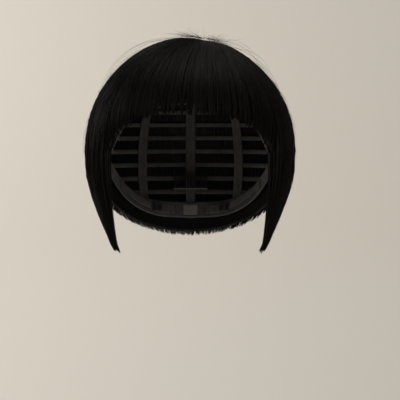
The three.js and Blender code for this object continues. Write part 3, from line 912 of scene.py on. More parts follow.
@dataclass(frozen=True)
class HardFinish:
    """Metal or plastic with fine scratches, worn tones and a slight grain."""

    name: str
    tone_a: Colour
    tone_b: Colour
    roughness: float
    metallic: float
    grain: tuple[float, float, float] = (400.0, 400.0, 400.0)
    relief: float = 0.00004
    coat: float = 0.0

    def build(self, groups: SharedGroups) -> bpy.types.Material:
        """Makes the material.

        Args:
            groups: The shared shader groups.

        Returns:
            The material.
        """
        material, graph, shader = start_material(self.name)
        place = graph.add("ShaderNodeTexCoord").outputs["Object"]
        mottle = use_group(graph, groups.mottle, {
            "Vector": place, "Scale": 220.0, "Tone A": (*self.tone_a, 1),
            "Tone B": (*self.tone_b, 1)})
        stretched = graph.add("ShaderNodeMapping", {"Vector": place, "Scale": self.grain})
        grain = graph.add("ShaderNodeTexNoise", {
            "Vector": stretched.outputs[0], "Scale": 1.0, "Detail": 3.0})
        rough = graph.add("ShaderNodeMapRange", {
            "Value": grain.outputs[0], "To Min": self.roughness - 0.1,
            "To Max": self.roughness + 0.14})
        add_relief(graph, shader, grain.outputs[0], 0.5, self.relief)
        graph.join(mottle.outputs["Color"], shader.inputs["Base Color"])
        graph.join(rough.outputs[0], shader.inputs["Roughness"])
        shader.inputs["Metallic"].default_value = self.metallic
        shader.inputs["Coat Weight"].default_value = self.coat
        return material


@dataclass(frozen=True)
class StageFinish:
    """The plain matt paint of the floor and the wall."""

    tone: Colour = (0.72, 0.69, 0.635)

    def build(self) -> bpy.types.Material:
        """Makes the material."""
        material, graph, shader = start_material("pale paint")
        place = graph.add("ShaderNodeTexCoord").outputs["Object"]
        noise = graph.add("ShaderNodeTexNoise", {"Vector": place, "Scale": 60.0, "Detail": 5.0})
        add_relief(graph, shader, noise.outputs[0], 0.08, 1 * MM)
        shader.inputs["Base Color"].default_value = (*self.tone, 1)
        shader.inputs["Roughness"].default_value = 0.9
        return material


class Wardrobe:
    """Every finish of the wig, built once."""

    def __init__(self) -> None:
        """Builds the materials."""
        groups = SharedGroups()
        self.hair = HairFinish().build(groups)
        self.hair_mass = HairFinish(
            "packed hair", uses_chart=False, roughness=0.55, gloss=0.2).build(groups)
        self.lace = ClothFinish(
            "crown lining", Cloth.TRICOT, (0.013, 0.012, 0.012), (0.028, 0.025, 0.024),
            across=0.0009, down=0.0009, relief=0.00012).build(groups)
        self.velvet = ClothFinish(
            "velvet band", Cloth.VELVET, (0.018, 0.015, 0.015), (0.040, 0.035, 0.034),
            across=0.0006, down=0.0006, relief=0.0002, roughness=0.95, sheen=0.25).build(groups)
        self.band = ClothFinish(
            "twill band", Cloth.TWILL, (0.020, 0.018, 0.018), (0.048, 0.043, 0.041),
            across=0.0008, down=0.0016, relief=0.00015, sheen=0.15).build(groups)
        self.elastic = ClothFinish(
            "woven elastic", Cloth.ELASTIC, (0.016, 0.015, 0.015), (0.050, 0.046, 0.044),
            across=0.0011, down=0.0007, relief=0.0002, roughness=0.75, sheen=0.1).build(groups)
        self.binding = ClothFinish(
            "binding", Cloth.SATIN, (0.016, 0.015, 0.015), (0.040, 0.036, 0.035),
            across=0.0008, down=0.0008, relief=0.0001, roughness=0.6, sheen=0.2).build(groups)
        self.satin = ClothFinish(
            "satin label", Cloth.SATIN, (0.075, 0.070, 0.068), (0.14, 0.13, 0.125),
            across=0.0005, down=0.0011, relief=0.00006, roughness=0.45, sheen=0.2).build(groups)
        self.net = HardFinish(
            "net thread", (0.040, 0.034, 0.030), (0.065, 0.056, 0.050), roughness=0.7,
            metallic=0.0).build(groups)
        self.thread = HardFinish(
            "sewing thread", (0.055, 0.050, 0.048), (0.11, 0.10, 0.095), roughness=0.65,
            metallic=0.0).build(groups)
        self.steel = HardFinish(
            "coated steel", (0.010, 0.010, 0.011), (0.030, 0.029, 0.030), roughness=0.34,
            metallic=0.6, coat=0.3).build(groups)
        self.aluminium = HardFinish(
            "brushed aluminium", (0.50, 0.51, 0.52), (0.66, 0.67, 0.68), roughness=0.38,
            metallic=1.0, grain=(500.0, 500.0, 60.0)).build(groups)
        self.plastic = HardFinish(
            "moulded hook", (0.010, 0.010, 0.010), (0.018, 0.018, 0.019), roughness=0.32,
            metallic=0.0, grain=(900.0, 900.0, 900.0)).build(groups)


# ---------------------------------------------------------------- pieces


def settle(piece: bpy.types.Object, body: str = CAP,
           nodes: Sequence[str] = ()) -> bpy.types.Object:
    """Puts a finished piece on its body, hides the CAD nodes that it replaces and logs its triangles.

    Args:
        piece: The finished mesh.
        body: The CAD body that it rides on.
        nodes: The CAD nodes that it replaces.

    Returns:
        The same piece.
    """
    if nodes:
        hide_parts(*nodes)
    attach(piece, body)
    report(piece, body)
    return piece


def report(piece: bpy.types.Object, body: str) -> None:
    """Logs a piece, its body and its triangles."""
    piece.data.calc_loop_triangles()
    log.info("%s on %s: %d triangles", piece.name, body, len(piece.data.loop_triangles))


@dataclass(frozen=True)
class Sector:
    """The strands that fall between two azimuths."""

    start: float
    end: float
    guides: int
    copies: int
    seed: int
    is_lock: bool = False


@dataclass(frozen=True)
class Wisps:
    """A family of loose hairs that stand off the hair's outside."""

    count: int
    azimuth: tuple[float, float]
    root: tuple[float, float]
    length: tuple[float, float]
    height: tuple[float, float]
    is_loop: bool


@dataclass
class Hair:
    """The wig's hair: packed hair under long strands that radiate from the whorl."""

    outline: HairOutline
    clothes: Wardrobe
    strands: StrandTree
    points: int = 14
    swirl: float = 34
    swirl_fade: float = 9
    root_lift_fade: float = 7
    clump_length: float = 14 * MM
    strand_radius: float = 0.18 * MM
    lock_start: float = -3 * MM
    lock_full: float = -25 * MM
    tuck_turn: float = 2.4
    tuck_depth: float = 2.6 * MM
    clump_count: int = 260
    clump_from: float = -260
    clump_widths: tuple[float, float] = (2.2, 6.8)
    clump_half: float = 2.4 * MM
    top_share: float = 0.72
    lock_top_share: float = 0.6
    under_root: tuple[float, float] = (18, 42)
    top_root: tuple[float, float] = (1.5, 15)
    face_width: float = 7
    face_share: float = 0.55
    sector_margin: float = 0.4
    points_turn: float = 4
    points_fade: tuple[float, float] = (11, 18)
    wisp_drift: float = 14
    wisp_room: float = 8
    lock_gap: float = 0.1
    lock_margin: float = 4 * MM
    clump_edges: np.ndarray = field(init=False, repr=False)
    clump_pull: np.ndarray = field(init=False, repr=False)

    def __post_init__(self) -> None:
        """Draws the widths of the clumps that the strands gather in."""
        rng = np.random.default_rng(7)
        widths = rng.uniform(*self.clump_widths, self.clump_count) * MM
        turns = np.cumsum(np.degrees(widths / self.outline.head.half_width))
        self.clump_edges = turns + self.clump_from
        self.clump_pull = rng.random(self.clump_count + 1)

    def build(self) -> None:
        """Makes every piece of the hair."""
        self.make_core()
        self.make_wisps()
        edge, lock, rear = self.outline.face_edge, self.outline.lock_end, self.outline.side_end
        for side in Side:
            sign = side.value
            seed = 10 if side is Side.LEFT else 20
            sectors = {
                f"fringe_strands_{side.word}": Sector(0, sign * edge, 247, 10, seed),
                f"side_strands_{side.word}": Sector(sign * lock, sign * rear, 120, 10, seed + 1),
                f"back_strands_{side.word}": Sector(sign * rear, sign * 180, 245, 10, seed + 2),
            }
            for name, sector in sectors.items():
                settle(self.grow(name, sector))
            self.make_lock(side, Sector(sign * edge, sign * lock, 200, 10, seed + 3, True))

    def core_margin(self, azimuth: np.ndarray) -> np.ndarray:
        """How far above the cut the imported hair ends, more where the fringe is see-through."""
        see_through = 1 - smooth(fold(azimuth), 14, 24)
        graduated = 1 - smooth(fold(azimuth), 85, 100)
        return (2.2 + 2.3 * graduated + 4.8 * see_through) * MM / self.outline.head.degree

    def make_core(self) -> None:
        """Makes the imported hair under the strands, which shows between them and inside the cap."""
        outline, head = self.outline, self.outline.head
        edge, lock = outline.face_edge, outline.lock_end

        def bottom(azimuth: np.ndarray) -> np.ndarray:
            """The lower edge, a little above the cut and level where a lock goes on below."""
            over_lock = (fold(azimuth) >= edge) & (fold(azimuth) <= lock)
            level_top = head.reach_at(np.array(outline.lock_top))
            above_cut = outline.cut_reach(azimuth) - self.core_margin(azimuth)
            return np.where(over_lock, level_top, above_cut)

        gap = self.lock_gap
        jumps = (-lock - gap, -lock, -edge, -edge + gap, edge - gap, edge, lock, lock + gap)
        patch = Patch(head, -180, 180, lambda azimuth: np.zeros_like(azimuth), bottom,
                      self.core_inner, self.core_outer, 2.4, 0.005, jumps)
        core = patch.build("packed_hair", self.clothes.hair_mass)
        settle(core, nodes=[
            "crown_hair", "fringe_hair", "nape_hair", "side_hair_left", "side_hair_right",
            "back_hair_left", "back_hair_right"])

    def core_outer(self, azimuth: np.ndarray, reach: np.ndarray) -> np.ndarray:
        """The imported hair's outside, with the ridges of the locks of hair in it."""
        ridges = 0.25 * MM * np.sin(azimuth * 1.9 + 3 * np.sin(azimuth * 0.21))
        return self.outline.core(azimuth, reach, self.outline.cut_reach(azimuth)) + ridges

    def core_inner(self, azimuth: np.ndarray, reach: np.ndarray) -> np.ndarray:
        """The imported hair's inside."""
        return self.outline.inner(reach, self.outline.cut_reach(azimuth))

    def make_lock(self, side: Side, sector: Sector) -> None:
        """Makes a side lock in place and hides the CAD lock that it replaces.

        Args:
            side: The wearer's side.
            sector: The lock's strands.
        """
        body = f"side_lock_{side.word}"
        outline, head = self.outline, self.outline.head
        low, high = sorted((sector.start, sector.end))

        def top(azimuth: np.ndarray) -> np.ndarray:
            """The level where the lock leaves the side hair."""
            return np.full_like(azimuth, head.reach_at(np.array(outline.lock_top + 0.5 * MM)))

        def bottom(azimuth: np.ndarray) -> np.ndarray:
            """The lock's tapered edge, a little above the cut."""
            return outline.cut_reach(azimuth) - self.lock_margin / head.degree

        core = Patch(head, low + self.lock_gap, high, top, bottom, self.core_inner, self.core_outer, 1.5,
                     0.004).build(f"lock_packed_{side.word}", self.clothes.hair_mass)
        strands = self.grow(f"lock_strands_{side.word}", sector)
        for piece in (core, strands):
            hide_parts(body)
            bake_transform(piece)
            report(piece, body)

    def make_wisps(self) -> None:
        """Makes the fine loose hairs over the top, at the whorl and along the sides."""
        families = (
            Wisps(40, (-180, 180), (3, 26), (34, 62), (2.0, 9.0), True),
            Wisps(110, (-180, 180), (0.6, 9), (5, 14), (2.0, 8.5), False),
            Wisps(9, (-70, 70), (1, 8), (8, 16), (9.0, 13.5), False),
            Wisps(90, (84, 125), (38, 84), (14, 26), (1.2, 4.6), False),
            Wisps(90, (-125, -84), (38, 84), (14, 26), (1.2, 4.6), False),
            Wisps(30, (55, 84), (34, 58), (14, 24), (1.0, 3.6), False),
            Wisps(30, (-84, -55), (34, 58), (14, 24), (1.0, 3.6), False),
            Wisps(30, (30, 80), (20, 46), (16, 34), (1.5, 4.5), True),
            Wisps(24, (-80, -30), (20, 46), (16, 34), (1.5, 4.5), True),
            Wisps(50, (120, 240), (40, 80), (20, 44), (1.0, 4.0), False),
        )
        outline, head = self.outline, self.outline.head
        rng = np.random.default_rng(31)
        step = np.linspace(0, 1, self.points)
        lines = []
        outward = []
        for family in families:
            start, root, length, height = (
                rng.uniform(low, high, family.count)[:, None]
                for low, high in (family.azimuth, family.root, family.length, family.height))
            drift = rng.uniform(-self.wisp_drift, self.wisp_drift, family.count)[:, None]
            room = outline.cut_reach(start) - 1 - root
            has_room = (room > self.wisp_room)[:, 0]
            start, root, length, height, drift, room = (
                values[has_room] for values in (start, root, length, height, drift, room))
            reach = root + np.minimum(length, room) * step
            azimuth = start + drift * step**2
            shape = np.sin(math.pi * step) ** 1.3 if family.is_loop else step**1.6
            outer = outline.outer(azimuth, reach, outline.cut_reach(start))
            surface, out = head.flow(azimuth, reach)
            lines.append(surface + out * (outer - 0.6 * MM + height * MM * shape)[..., None])
            outward.append(out)
        points, out = np.concatenate(lines), np.concatenate(outward)
        self.finish_strands("flyaway_hairs", points, out, copies=1, spread_root=0.0,
                            spread_tip=0.0, depth=0.0, wander=5.0 * MM, wave_length=22 * MM,
                            trim=0.25, radius=0.075 * MM, tip_width=0.4, seed=31)

    def finish_strands(self, name: str, points: np.ndarray, out: np.ndarray,
                       **values: Any) -> None:
        """Grows strands on their guide lines and settles them on the cap.

        Args:
            name: The piece's name.
            points: The guide lines' points.
            out: The direction out of the head at each point.
            **values: The strand tree's inputs.
        """
        settle(self.grow_on(name, points, out, **values))

    def grow_on(self, name: str, points: np.ndarray, out: np.ndarray,
                **values: Any) -> bpy.types.Object:
        """Grows strands on their guide lines.

        Args:
            name: The piece's name.
            points: The guide lines' points.
            out: The direction out of the head at each point.
            **values: The strand tree's inputs.

        Returns:
            The piece.
        """
        side = unit(np.cross(unit(np.gradient(points, axis=1)), out))
        along = np.broadcast_to(np.linspace(0, 1, points.shape[1]), points.shape[:2])
        source = guide_lines(name, points, side=side, out=out, along=along)
        return self.strands.grow(source, name, material=self.clothes.hair, **values)

    def grow(self, name: str, sector: Sector) -> bpy.types.Object:
        """Makes the strands of a sector.

        Args:
            name: The piece's name.
            sector: Where the strands fall.

        Returns:
            The piece.
        """
        points, out = self.guides(sector)
        return self.grow_on(name, points, out, copies=sector.copies, spread_root=1.2 * MM,
                            spread_tip=0.5 * MM, depth=0.45 * MM, wander=1.5 * MM,
                            wave_length=38 * MM, trim=0.012, radius=self.strand_radius,
                            tip_width=0.4, seed=sector.seed)

    def guides(self, sector: Sector) -> tuple[np.ndarray, np.ndarray]:
        """The lines that a sector's strands follow.

        Args:
            sector: Where the strands fall.

        Returns:
            The points and the directions out of the head, each lines by points by 3.
        """
        outline, head = self.outline, self.outline.head
        rng = np.random.default_rng(sector.seed)
        count = sector.guides
        start = sector.start + (np.arange(count) + rng.random(count)) / count * (
            sector.end - sector.start)
        is_top = rng.random(count) < (self.lock_top_share if sector.is_lock else self.top_share)
        by_face = np.abs(fold(start) - outline.face_edge) < self.face_width
        at_face = by_face & (rng.random(count) < self.face_share)
        is_under = ~is_top | at_face
        root = np.where(is_under, self.under_root[0] + self.under_root[1] * rng.random(count),
                        self.top_root[0] + self.top_root[1] * rng.random(count) ** 0.8)
        layer = np.where(is_under, rng.random(count) ** 1.2 * 0.8, 1 - 0.6 * rng.random(count) ** 2)
        centre, pull = self.clumps(start)
        end = start + (centre - start) * pull
        low_end, high_end = sorted((sector.start, sector.end))
        end = np.clip(end, low_end + self.sector_margin, high_end - self.sector_margin)
        cut = outline.cut_reach(start if sector.is_lock else end)
        away = np.abs(start - centre) * head.half_width * DEGREE / self.clump_half
        middle = self.in_middle(start)
        graduated = smooth(fold(start), 95, 120)
        ragged = (0.4 + 2.6 * pull * np.minimum(away, 1.4) ** 1.5) * MM * rng.random(count) ** 0.6
        ragged = ragged * (1 + 2.1 * middle) * (1 - 0.55 * graduated)
        last = self.lock_ends(start, rng) if sector.is_lock else cut - ragged / head.degree
        step = np.linspace(0, 1, self.points)
        step = step - 0.45 * np.sin(2 * math.pi * step) / (2 * math.pi)
        reach = root[:, None] + (last - root)[:, None] * step
        to_end = (last[:, None] - reach) * head.degree
        gather = 1 - smooth(to_end, 0, self.clump_length)
        azimuth = start[:, None] + (end - start)[:, None] * gather
        cut_there = np.maximum(cut[:, None], last[:, None])
        if sector.is_lock:
            azimuth = self.lock_azimuth(start[:, None], reach)
            cut_there = np.full_like(reach, head.reach_at(np.array(outline.lock_tip)))
        azimuth = azimuth + self.swirl * np.exp(-reach / self.swirl_fade)
        outer = outline.outer(azimuth, reach, cut_there)
        core = outline.core(azimuth, reach, cut_there)
        inner = outline.inner(reach, cut_there)
        near_cut = 1 - smooth(to_end, 0, 22 * MM)
        at_edge = smooth(reach, 48, 62) * at_face[:, None]
        near_cut = np.maximum(near_cut, at_edge)
        if sector.is_lock:
            near_cut = np.maximum(near_cut, smooth(reach, 74, 92))
            tuck = np.clip(1 - (np.abs(start) - outline.face_edge) / 8, 0, 1)[:, None] * smooth(
                reach, 64, 84)
            azimuth = azimuth - np.sign(sector.end) * self.tuck_turn * tuck
            inner = inner - self.tuck_depth * tuck
        low = core + (inner - core) * near_cut
        rise = 1 - np.exp(-(reach - root[:, None]) / self.root_lift_fade)
        lift = core + (low + (outer - low) * layer[:, None] - core) * rise
        surface, out = head.flow(azimuth, reach)
        return surface + out * lift[..., None], out

    def in_middle(self, azimuth: np.ndarray) -> np.ndarray:
        """1 in the middle of the fringe, where the cut breaks into points, and 0 away from it."""
        return 1 - smooth(np.abs(azimuth + self.points_turn), *self.points_fade)

    def clumps(self, azimuth: np.ndarray) -> tuple[np.ndarray, np.ndarray]:
        """Where strands gather towards their tips.

        Args:
            azimuth: The strands' own azimuths.

        Returns:
            The azimuth of each strand's clump, and how strongly it is pulled there.
        """
        edges = self.clump_edges
        number = np.clip(np.searchsorted(edges, azimuth), 1, len(edges) - 1)
        centre = (edges[number - 1] + edges[number]) / 2
        chance = self.clump_pull[number]
        middle = self.in_middle(azimuth)
        strength = 0.12 + 0.3 * chance**2 + middle * (0.2 + 0.45 * chance)
        at_face = smooth(fold(azimuth), self.outline.face_edge - 8, self.outline.face_edge - 4)
        return centre, np.where(fold(azimuth) < self.outline.face_edge,
                                strength * (1 - 0.9 * at_face), strength)

    def lock_azimuth(self, azimuth: np.ndarray, reach: np.ndarray) -> np.ndarray:
        """The azimuth of a lock's strands, which close up as the lock narrows.

        Args:
            azimuth: The strands' azimuths above the lock.
            reach: How far down they are.

        Returns:
            The azimuths there.
        """
        outline = self.outline
        share = (np.abs(azimuth) - outline.face_edge) / (outline.lock_end - outline.face_edge)
        height = (90 - reach) * outline.head.degree
        places = np.linspace(outline.face_edge, outline.lock_end, 60)
        heights = outline.back_cut(places) * MM
        back = np.interp(height, heights, places)
        narrowed = outline.face_edge + share * (back - outline.face_edge)
        return np.sign(azimuth) * np.where(height < heights[-1], narrowed, np.abs(azimuth))

    def lock_ends(self, azimuth: np.ndarray, rng: np.random.Generator) -> np.ndarray:
        """The reach at which a lock's strands end: some at the tapered edge, most near the tip."""
        outline = self.outline
        share = rng.random(len(azimuth)) ** 0.6
        edge = outline.cut_height(azimuth)
        low = edge + (outline.lock_tip - edge) * share
        return outline.head.reach_at(np.minimum(low, edge - 2 * MM))


@dataclass
class WeftedCap:
    """The cap inside: crown, bands, elastic ribbons and the wefts that hold the hair."""

    head: HeadForm
    clothes: Wardrobe
    stitches: StitchTree
    threads: ThreadTree
    thickness: float = 0.9 * MM
    layer_gap: float = 0.5 * MM
    seam: float = 0.5 * MM
    front_width: float = 16 * MM
    side_width: float = 12 * MM
    nape_width: float = 14 * MM
    front_end: float = 57
    side_end: float = 112
    dome_reach: float = 50
    ribbon_azimuths: tuple[float, ...] = (-146, -112, -79, 180, 79, 112, 146)
    ribbon_width: float = 9 * MM
    ribbon_thickness: float = 0.7 * MM
    ribbon_overlap: float = 4 * MM
    weft_count: int = 8
    weft_height: float = 4 * MM
    weft_thickness: float = 1.4 * MM
    weft_margin: float = 10.5 * MM
    weft_front_end: float = 60
    thread_lift: float = -0.05 * MM
    net_inset: float = 0.25 * MM
    net_margin: float = 0.6
    zigzag_points: int = 280
    zigzag_swing: float = 1.25 * MM
    root_pitch: float = 2.3
    weft_roots: np.ndarray = field(init=False, repr=False)
    rim: StopCurve = StopCurve((
        (0, 58), (22, 57), (36, 50), (46, 39), (54, 24), (60, 12), (76, 8), (90, 11), (102, 4),
        (116, -14), (132, -34), (150, -46), (180, -50)))

    @property
    def ribbon_lift(self) -> float:
        """The lift of the ribbons' inside."""
        return self.thickness + self.layer_gap

    @property
    def weft_lift(self) -> float:
        """The lift of the wefts' inside."""
        return self.ribbon_lift + self.ribbon_thickness + self.layer_gap

    def above_rim(self, azimuth: np.ndarray, length: float) -> np.ndarray:
        """The reach that lies a length above the cap's lower edge."""
        return self.head.reach_at(self.rim(azimuth) * MM) - length / self.head.degree

    def dome_edge(self, azimuth: np.ndarray) -> np.ndarray:
        """The crown's lower edge."""
        band_top = self.above_rim(azimuth, self.front_width) - self.seam / self.head.degree
        return np.where(fold(azimuth) < self.front_end, band_top,
                        np.minimum(self.dome_reach, band_top))

    def build(self) -> None:
        """Makes every piece of the cap."""
        self.make_crown()
        seams = self.make_bands()
        seams += self.make_ribbons()
        self.make_wefts()
        piece = self.stitches.grow(guide_lines("cap_stitching", np.array(seams)), "cap_stitching",
                                   pitch=2.7 * MM, length=1.9 * MM, radius=0.17 * MM,
                                   material=self.clothes.thread)
        settle(piece)
        self.make_binding()

    def line(self, start: float, end: float, reach: Field, lift: float,
             points: int = 90) -> np.ndarray:
        """A line on the head, at a lift.

        Args:
            start: The first azimuth.
            end: The last azimuth.
            reach: The reach at each azimuth.
            lift: The lift of the whole line.
            points: How many points it has.

        Returns:
            The line's points.
        """
        azimuth = np.linspace(start, end, points)
        return self.head.place(azimuth, reach(azimuth), np.full(points, lift))

    def make_crown(self) -> None:
        """Makes the closed crown: a knitted lining with a hexagonal net sewn inside it."""
        lining = Patch(self.head, -180, 180, lambda azimuth: np.zeros_like(azimuth),
                       self.dome_edge, level(0), level(self.thickness), 4, 0.005,
                       (-self.front_end, self.front_end)).build("crown_lining", self.clothes.lace)
        settle(lining, nodes=["crown_cap"])
        work = bmesh.new()
        bmesh.ops.create_icosphere(work, subdivisions=6, radius=1)
        size = np.array([self.head.half_width, self.head.half_length, self.head.height])
        size = size - self.net_inset
        points = np.array([vertex.co for vertex in work.verts]) * size
        azimuth = np.degrees(np.arctan2(points[:, 0] / size[0], -points[:, 1] / size[1]))
        reach = np.degrees(np.arccos(np.clip(points[:, 2] / size[2], -1, 1)))
        is_outside = reach > self.dome_edge(azimuth) - self.net_margin
        for vertex, place in zip(work.verts, points):
            vertex.co = place
        doomed = [vertex for vertex, gone in zip(work.verts, is_outside) if gone]
        bmesh.ops.delete(work, geom=doomed, context="VERTS")
        mesh = bpy.data.meshes.new("crown_net")
        work.to_mesh(mesh)
        work.free()
        net = NetTree().grow(link_mesh("crown_net", mesh), "crown_net", radius=0.11 * MM,
                             material=self.clothes.net)
        settle(net)

    def make_band(self, name: str, node: str, start: float, end: float, width: float,
                  material: bpy.types.Material, sewn_to: Sequence[str]) -> list[np.ndarray]:
        """Makes one band of the cap.

        Args:
            name: The piece's name.
            node: The CAD node that it replaces.
            start: The first azimuth.
            end: The last azimuth.
            width: The band's width.
            material: The band's cloth.
            sewn_to: Not used.

        Returns:
            The lines of stitching along its two edges.
        """
        def upper(azimuth: np.ndarray) -> np.ndarray:
            """The band's upper edge."""
            return self.above_rim(azimuth, width)

        def lower(azimuth: np.ndarray) -> np.ndarray:
            """The band's lower edge."""
            return self.above_rim(azimuth, 0)

        band = Patch(self.head, start, end, upper, lower, level(0), level(self.thickness), 2,
                     0.003).build(name, material)
        settle(band, nodes=[node])
        edge = self.line(start, end, lower, 0.0)
        inset = 1.6 * MM
        return [self.line(start + 1, end - 1, lambda azimuth: self.above_rim(azimuth, place),
                          self.thread_lift) for place in (inset, width - inset)]

    def make_bands(self) -> list[np.ndarray]:
        """Makes the forehead, side and nape bands, and gives their lines of stitching."""
        gap = math.degrees(self.seam / self.head.height)
        seams = self.make_band("forehead_band", "front_band", -self.front_end, self.front_end,
                               self.front_width, self.clothes.velvet, ["crown_lining"])
        for side in Side:
            ends = sorted(side.value * place for place in (self.front_end + gap,
                                                           self.side_end - gap))
            seams += self.make_band(f"ear_band_{side.word}", f"side_band_{side.word}", *ends,
                                    self.side_width, self.clothes.band, ["forehead_band"])
        return seams + self.make_band("neck_band", "nape_band", self.side_end,
                                      360 - self.side_end, self.nape_width, self.clothes.band,
                                      ["ear_band_left", "ear_band_right"])

    def make_ribbons(self) -> list[np.ndarray]:
        """Makes the elastic ribbons from the crown to the bands, and gives their stitching."""
        overlap = self.ribbon_overlap / self.head.degree
        half = self.head.turn_of(self.ribbon_width / 2)
        seams = []
        for number, azimuth in enumerate(self.ribbon_azimuths, 1):
            width = self.side_width if abs(azimuth) < self.side_end else self.nape_width

            def upper(place: np.ndarray) -> np.ndarray:
                """The end under the crown's edge."""
                return self.dome_edge(place) - overlap

            def lower(place: np.ndarray) -> np.ndarray:
                """The end under the band's edge."""
                return self.above_rim(place, width) + overlap

            ribbon = Patch(self.head, azimuth - half, azimuth + half, upper, lower,
                           level(self.ribbon_lift),
                           level(self.ribbon_lift + self.ribbon_thickness), 1.6, 0.004)
            settle(ribbon.build(f"elastic_ribbon_{number}", self.clothes.elastic),
                   nodes=[f"cap_ribbon_{number}"])
            middle = np.array(float(azimuth))
            reach = np.linspace(float(upper(middle)) + 1, float(lower(middle)) - 1, 90)
            lift = np.full(90, self.ribbon_lift + self.thread_lift)
            for edge in (-0.72, 0.72):
                seams.append(self.head.place(np.full(90, azimuth + edge * half), reach, lift))
        return seams

    def weft_start(self, lower: float) -> float:
        """The azimuth nearest the face from which a weft stays above the bands."""
        azimuth = 180
        while azimuth > self.weft_front_end and float(
                self.above_rim(np.array(azimuth - 1.0), self.side_width)) > lower:
            azimuth -= 1
        return azimuth

    def make_wefts(self) -> None:
        """Makes the sewn wefts and their zigzag thread, and keeps the places where hair hangs from them
        inside.
        """
        half = self.weft_height / 2 / self.head.degree
        first = self.dome_reach + self.weft_margin / self.head.degree
        last = float(self.above_rim(np.array(180.0), self.nape_width)) - (
            self.weft_margin / self.head.degree)
        zigzags, roots = [], []
        for number, middle in enumerate(np.linspace(first, last, self.weft_count), 1):
            start = self.weft_start(middle + half)
            weft = Patch(self.head, start, 360 - start, lambda azimuth: np.full_like(
                azimuth, middle - half), lambda azimuth: np.full_like(azimuth, middle + half),
                level(self.weft_lift), level(self.weft_lift + self.weft_thickness), 2.5, 0.0013)
            settle(weft.build(f"weft_{number}", self.clothes.elastic),
                   nodes=[f"weft_track_{number}"])
            count = self.zigzag_points
            azimuth = np.linspace(start + 0.5, 359.5 - start, count)
            is_low = np.arange(count) % 2
            swing = np.where(is_low, 1, -1) * self.zigzag_swing / self.head.degree
            zigzags.append(self.head.place(azimuth, middle + swing,
                                           np.full(count, self.weft_lift - 0.08 * MM)))
            places = np.arange(start + 2, 359 - start, self.root_pitch)
            roots += [(place, middle) for place in places]
        thread = self.threads.grow(guide_lines("weft_zigzag", np.array(zigzags)), "weft_zigzag",
                                   radius=0.15 * MM, sides=4, material=self.clothes.thread)
        settle(thread)
        self.weft_roots = np.array(roots)

    def make_binding(self) -> None:
        """Makes the rolled binding on the inside of the cap's lower edge."""
        roll = self.line(-180, 180, lambda azimuth: self.above_rim(azimuth, 0.9 * MM), -0.3 * MM,
                         361)
        piece = self.threads.grow(guide_lines("rim_binding", roll[None]), "rim_binding",
                                  radius=0.5 * MM, sides=8, material=self.clothes.binding)
        settle(piece)


class NetTree(GrowthTree):
    """Turns a mesh of triangles into a net of six-sided meshes."""

    def __init__(self) -> None:
        """Builds the tree's nodes."""
        super().__init__("net")
        radius = self.input("Radius")
        material = self.input("Material", "NodeSocketMaterial")
        cells = self.add("GeometryNodeDualMesh", {"Mesh": self.geometry}).outputs[0]
        self.close(self.sweep(self.as_lines(cells), self.ring(radius, 3)), material)


@dataclass
class WeftHair:
    """The hair that hangs from the wefts, seen from inside between them."""

    hair: Hair
    roots: np.ndarray
    root_lift: float = 4.15 * MM
    end_lift: float = 4.6 * MM
    length: float = 19 * MM

    def build(self) -> None:
        """Makes the strands."""
        head, outline = self.hair.outline.head, self.hair.outline
        step = np.linspace(0, 1, 5)
        azimuth = np.broadcast_to(self.roots[:, :1], (len(self.roots), 5))
        longest = outline.cut_reach(azimuth[:, 0]) - 2 * MM / head.degree
        end = np.minimum(self.roots[:, 1] + self.length / head.degree, longest)
        reach = self.roots[:, 1:] + (end[:, None] - self.roots[:, 1:]) * step
        lift = self.root_lift + (self.end_lift - self.root_lift) * step
        points = head.place(azimuth, reach, np.broadcast_to(lift, reach.shape))
        self.hair.finish_strands(
            "weft_hair", points, head.outward(azimuth, reach), copies=5, spread_root=1.7 * MM,
            spread_tip=2.0 * MM, depth=0.12 * MM, wander=0.8 * MM, wave_length=20 * MM, trim=0.1,
            radius=0.14 * MM, tip_width=0.6, seed=41)


@dataclass
class EarTabs:
    """The fabric tabs in front of the ears, which bend on their aluminium stays."""

    cap: WeftedCap
    start: float = 60
    end: float = 76
    length: float = 30 * MM
    cut_share: float = 0.85
    hem: float = 1.7 * MM
    stitched: float = 0.86

    def build(self) -> None:
        """Makes both tabs with their stitching."""
        head, cap = self.cap.head, self.cap
        middle, half = (self.start + self.end) / 2, (self.end - self.start) / 2

        def top(azimuth: np.ndarray) -> np.ndarray:
            """The edge that meets the side band."""
            return cap.above_rim(azimuth, -cap.seam)

        def tongue(azimuth: np.ndarray) -> np.ndarray:
            """The rounded lower edge."""
            share = (fold(azimuth) - middle) / half
            return cap.above_rim(azimuth, 0) + self.length / head.degree * np.sqrt(
                1 - 0.8 * share**2)

        for side in Side:
            body = f"ear_tab_{side.word}"
            centre = side.value * middle
            tab = Patch(head, centre - half, centre + half, top, tongue, level(0),
                        level(cap.thickness), 0.8, 0.002).build(f"temple_tab_{side.word}",
                                                                cap.clothes.velvet)
            settle(tab, body, [body])
            f"ear_band_{side.word}"
            lift = np.full(90, cap.thread_lift)
            azimuth = centre + np.linspace(-self.stitched, self.stitched, 90) * half
            lines = [head.place(azimuth, tongue(azimuth) - self.hem / head.degree, lift)]
            for edge in (-self.stitched, self.stitched):
                at = np.full(90, centre + edge * half)
                reach = np.linspace(float(top(at[0])) + 1, float(tongue(at[0])) - 1, 90)
                lines.append(head.place(at, reach, lift))
            thread = cap.stitches.grow(
                guide_lines(body, np.array(lines)), f"temple_tab_stitching_{side.word}",
                pitch=2.4 * MM, length=1.7 * MM, radius=0.16 * MM, material=cap.clothes.thread)
            settle(thread, body)
            dress(f"ear_tab_stay_{side.word}", cap.clothes.aluminium)


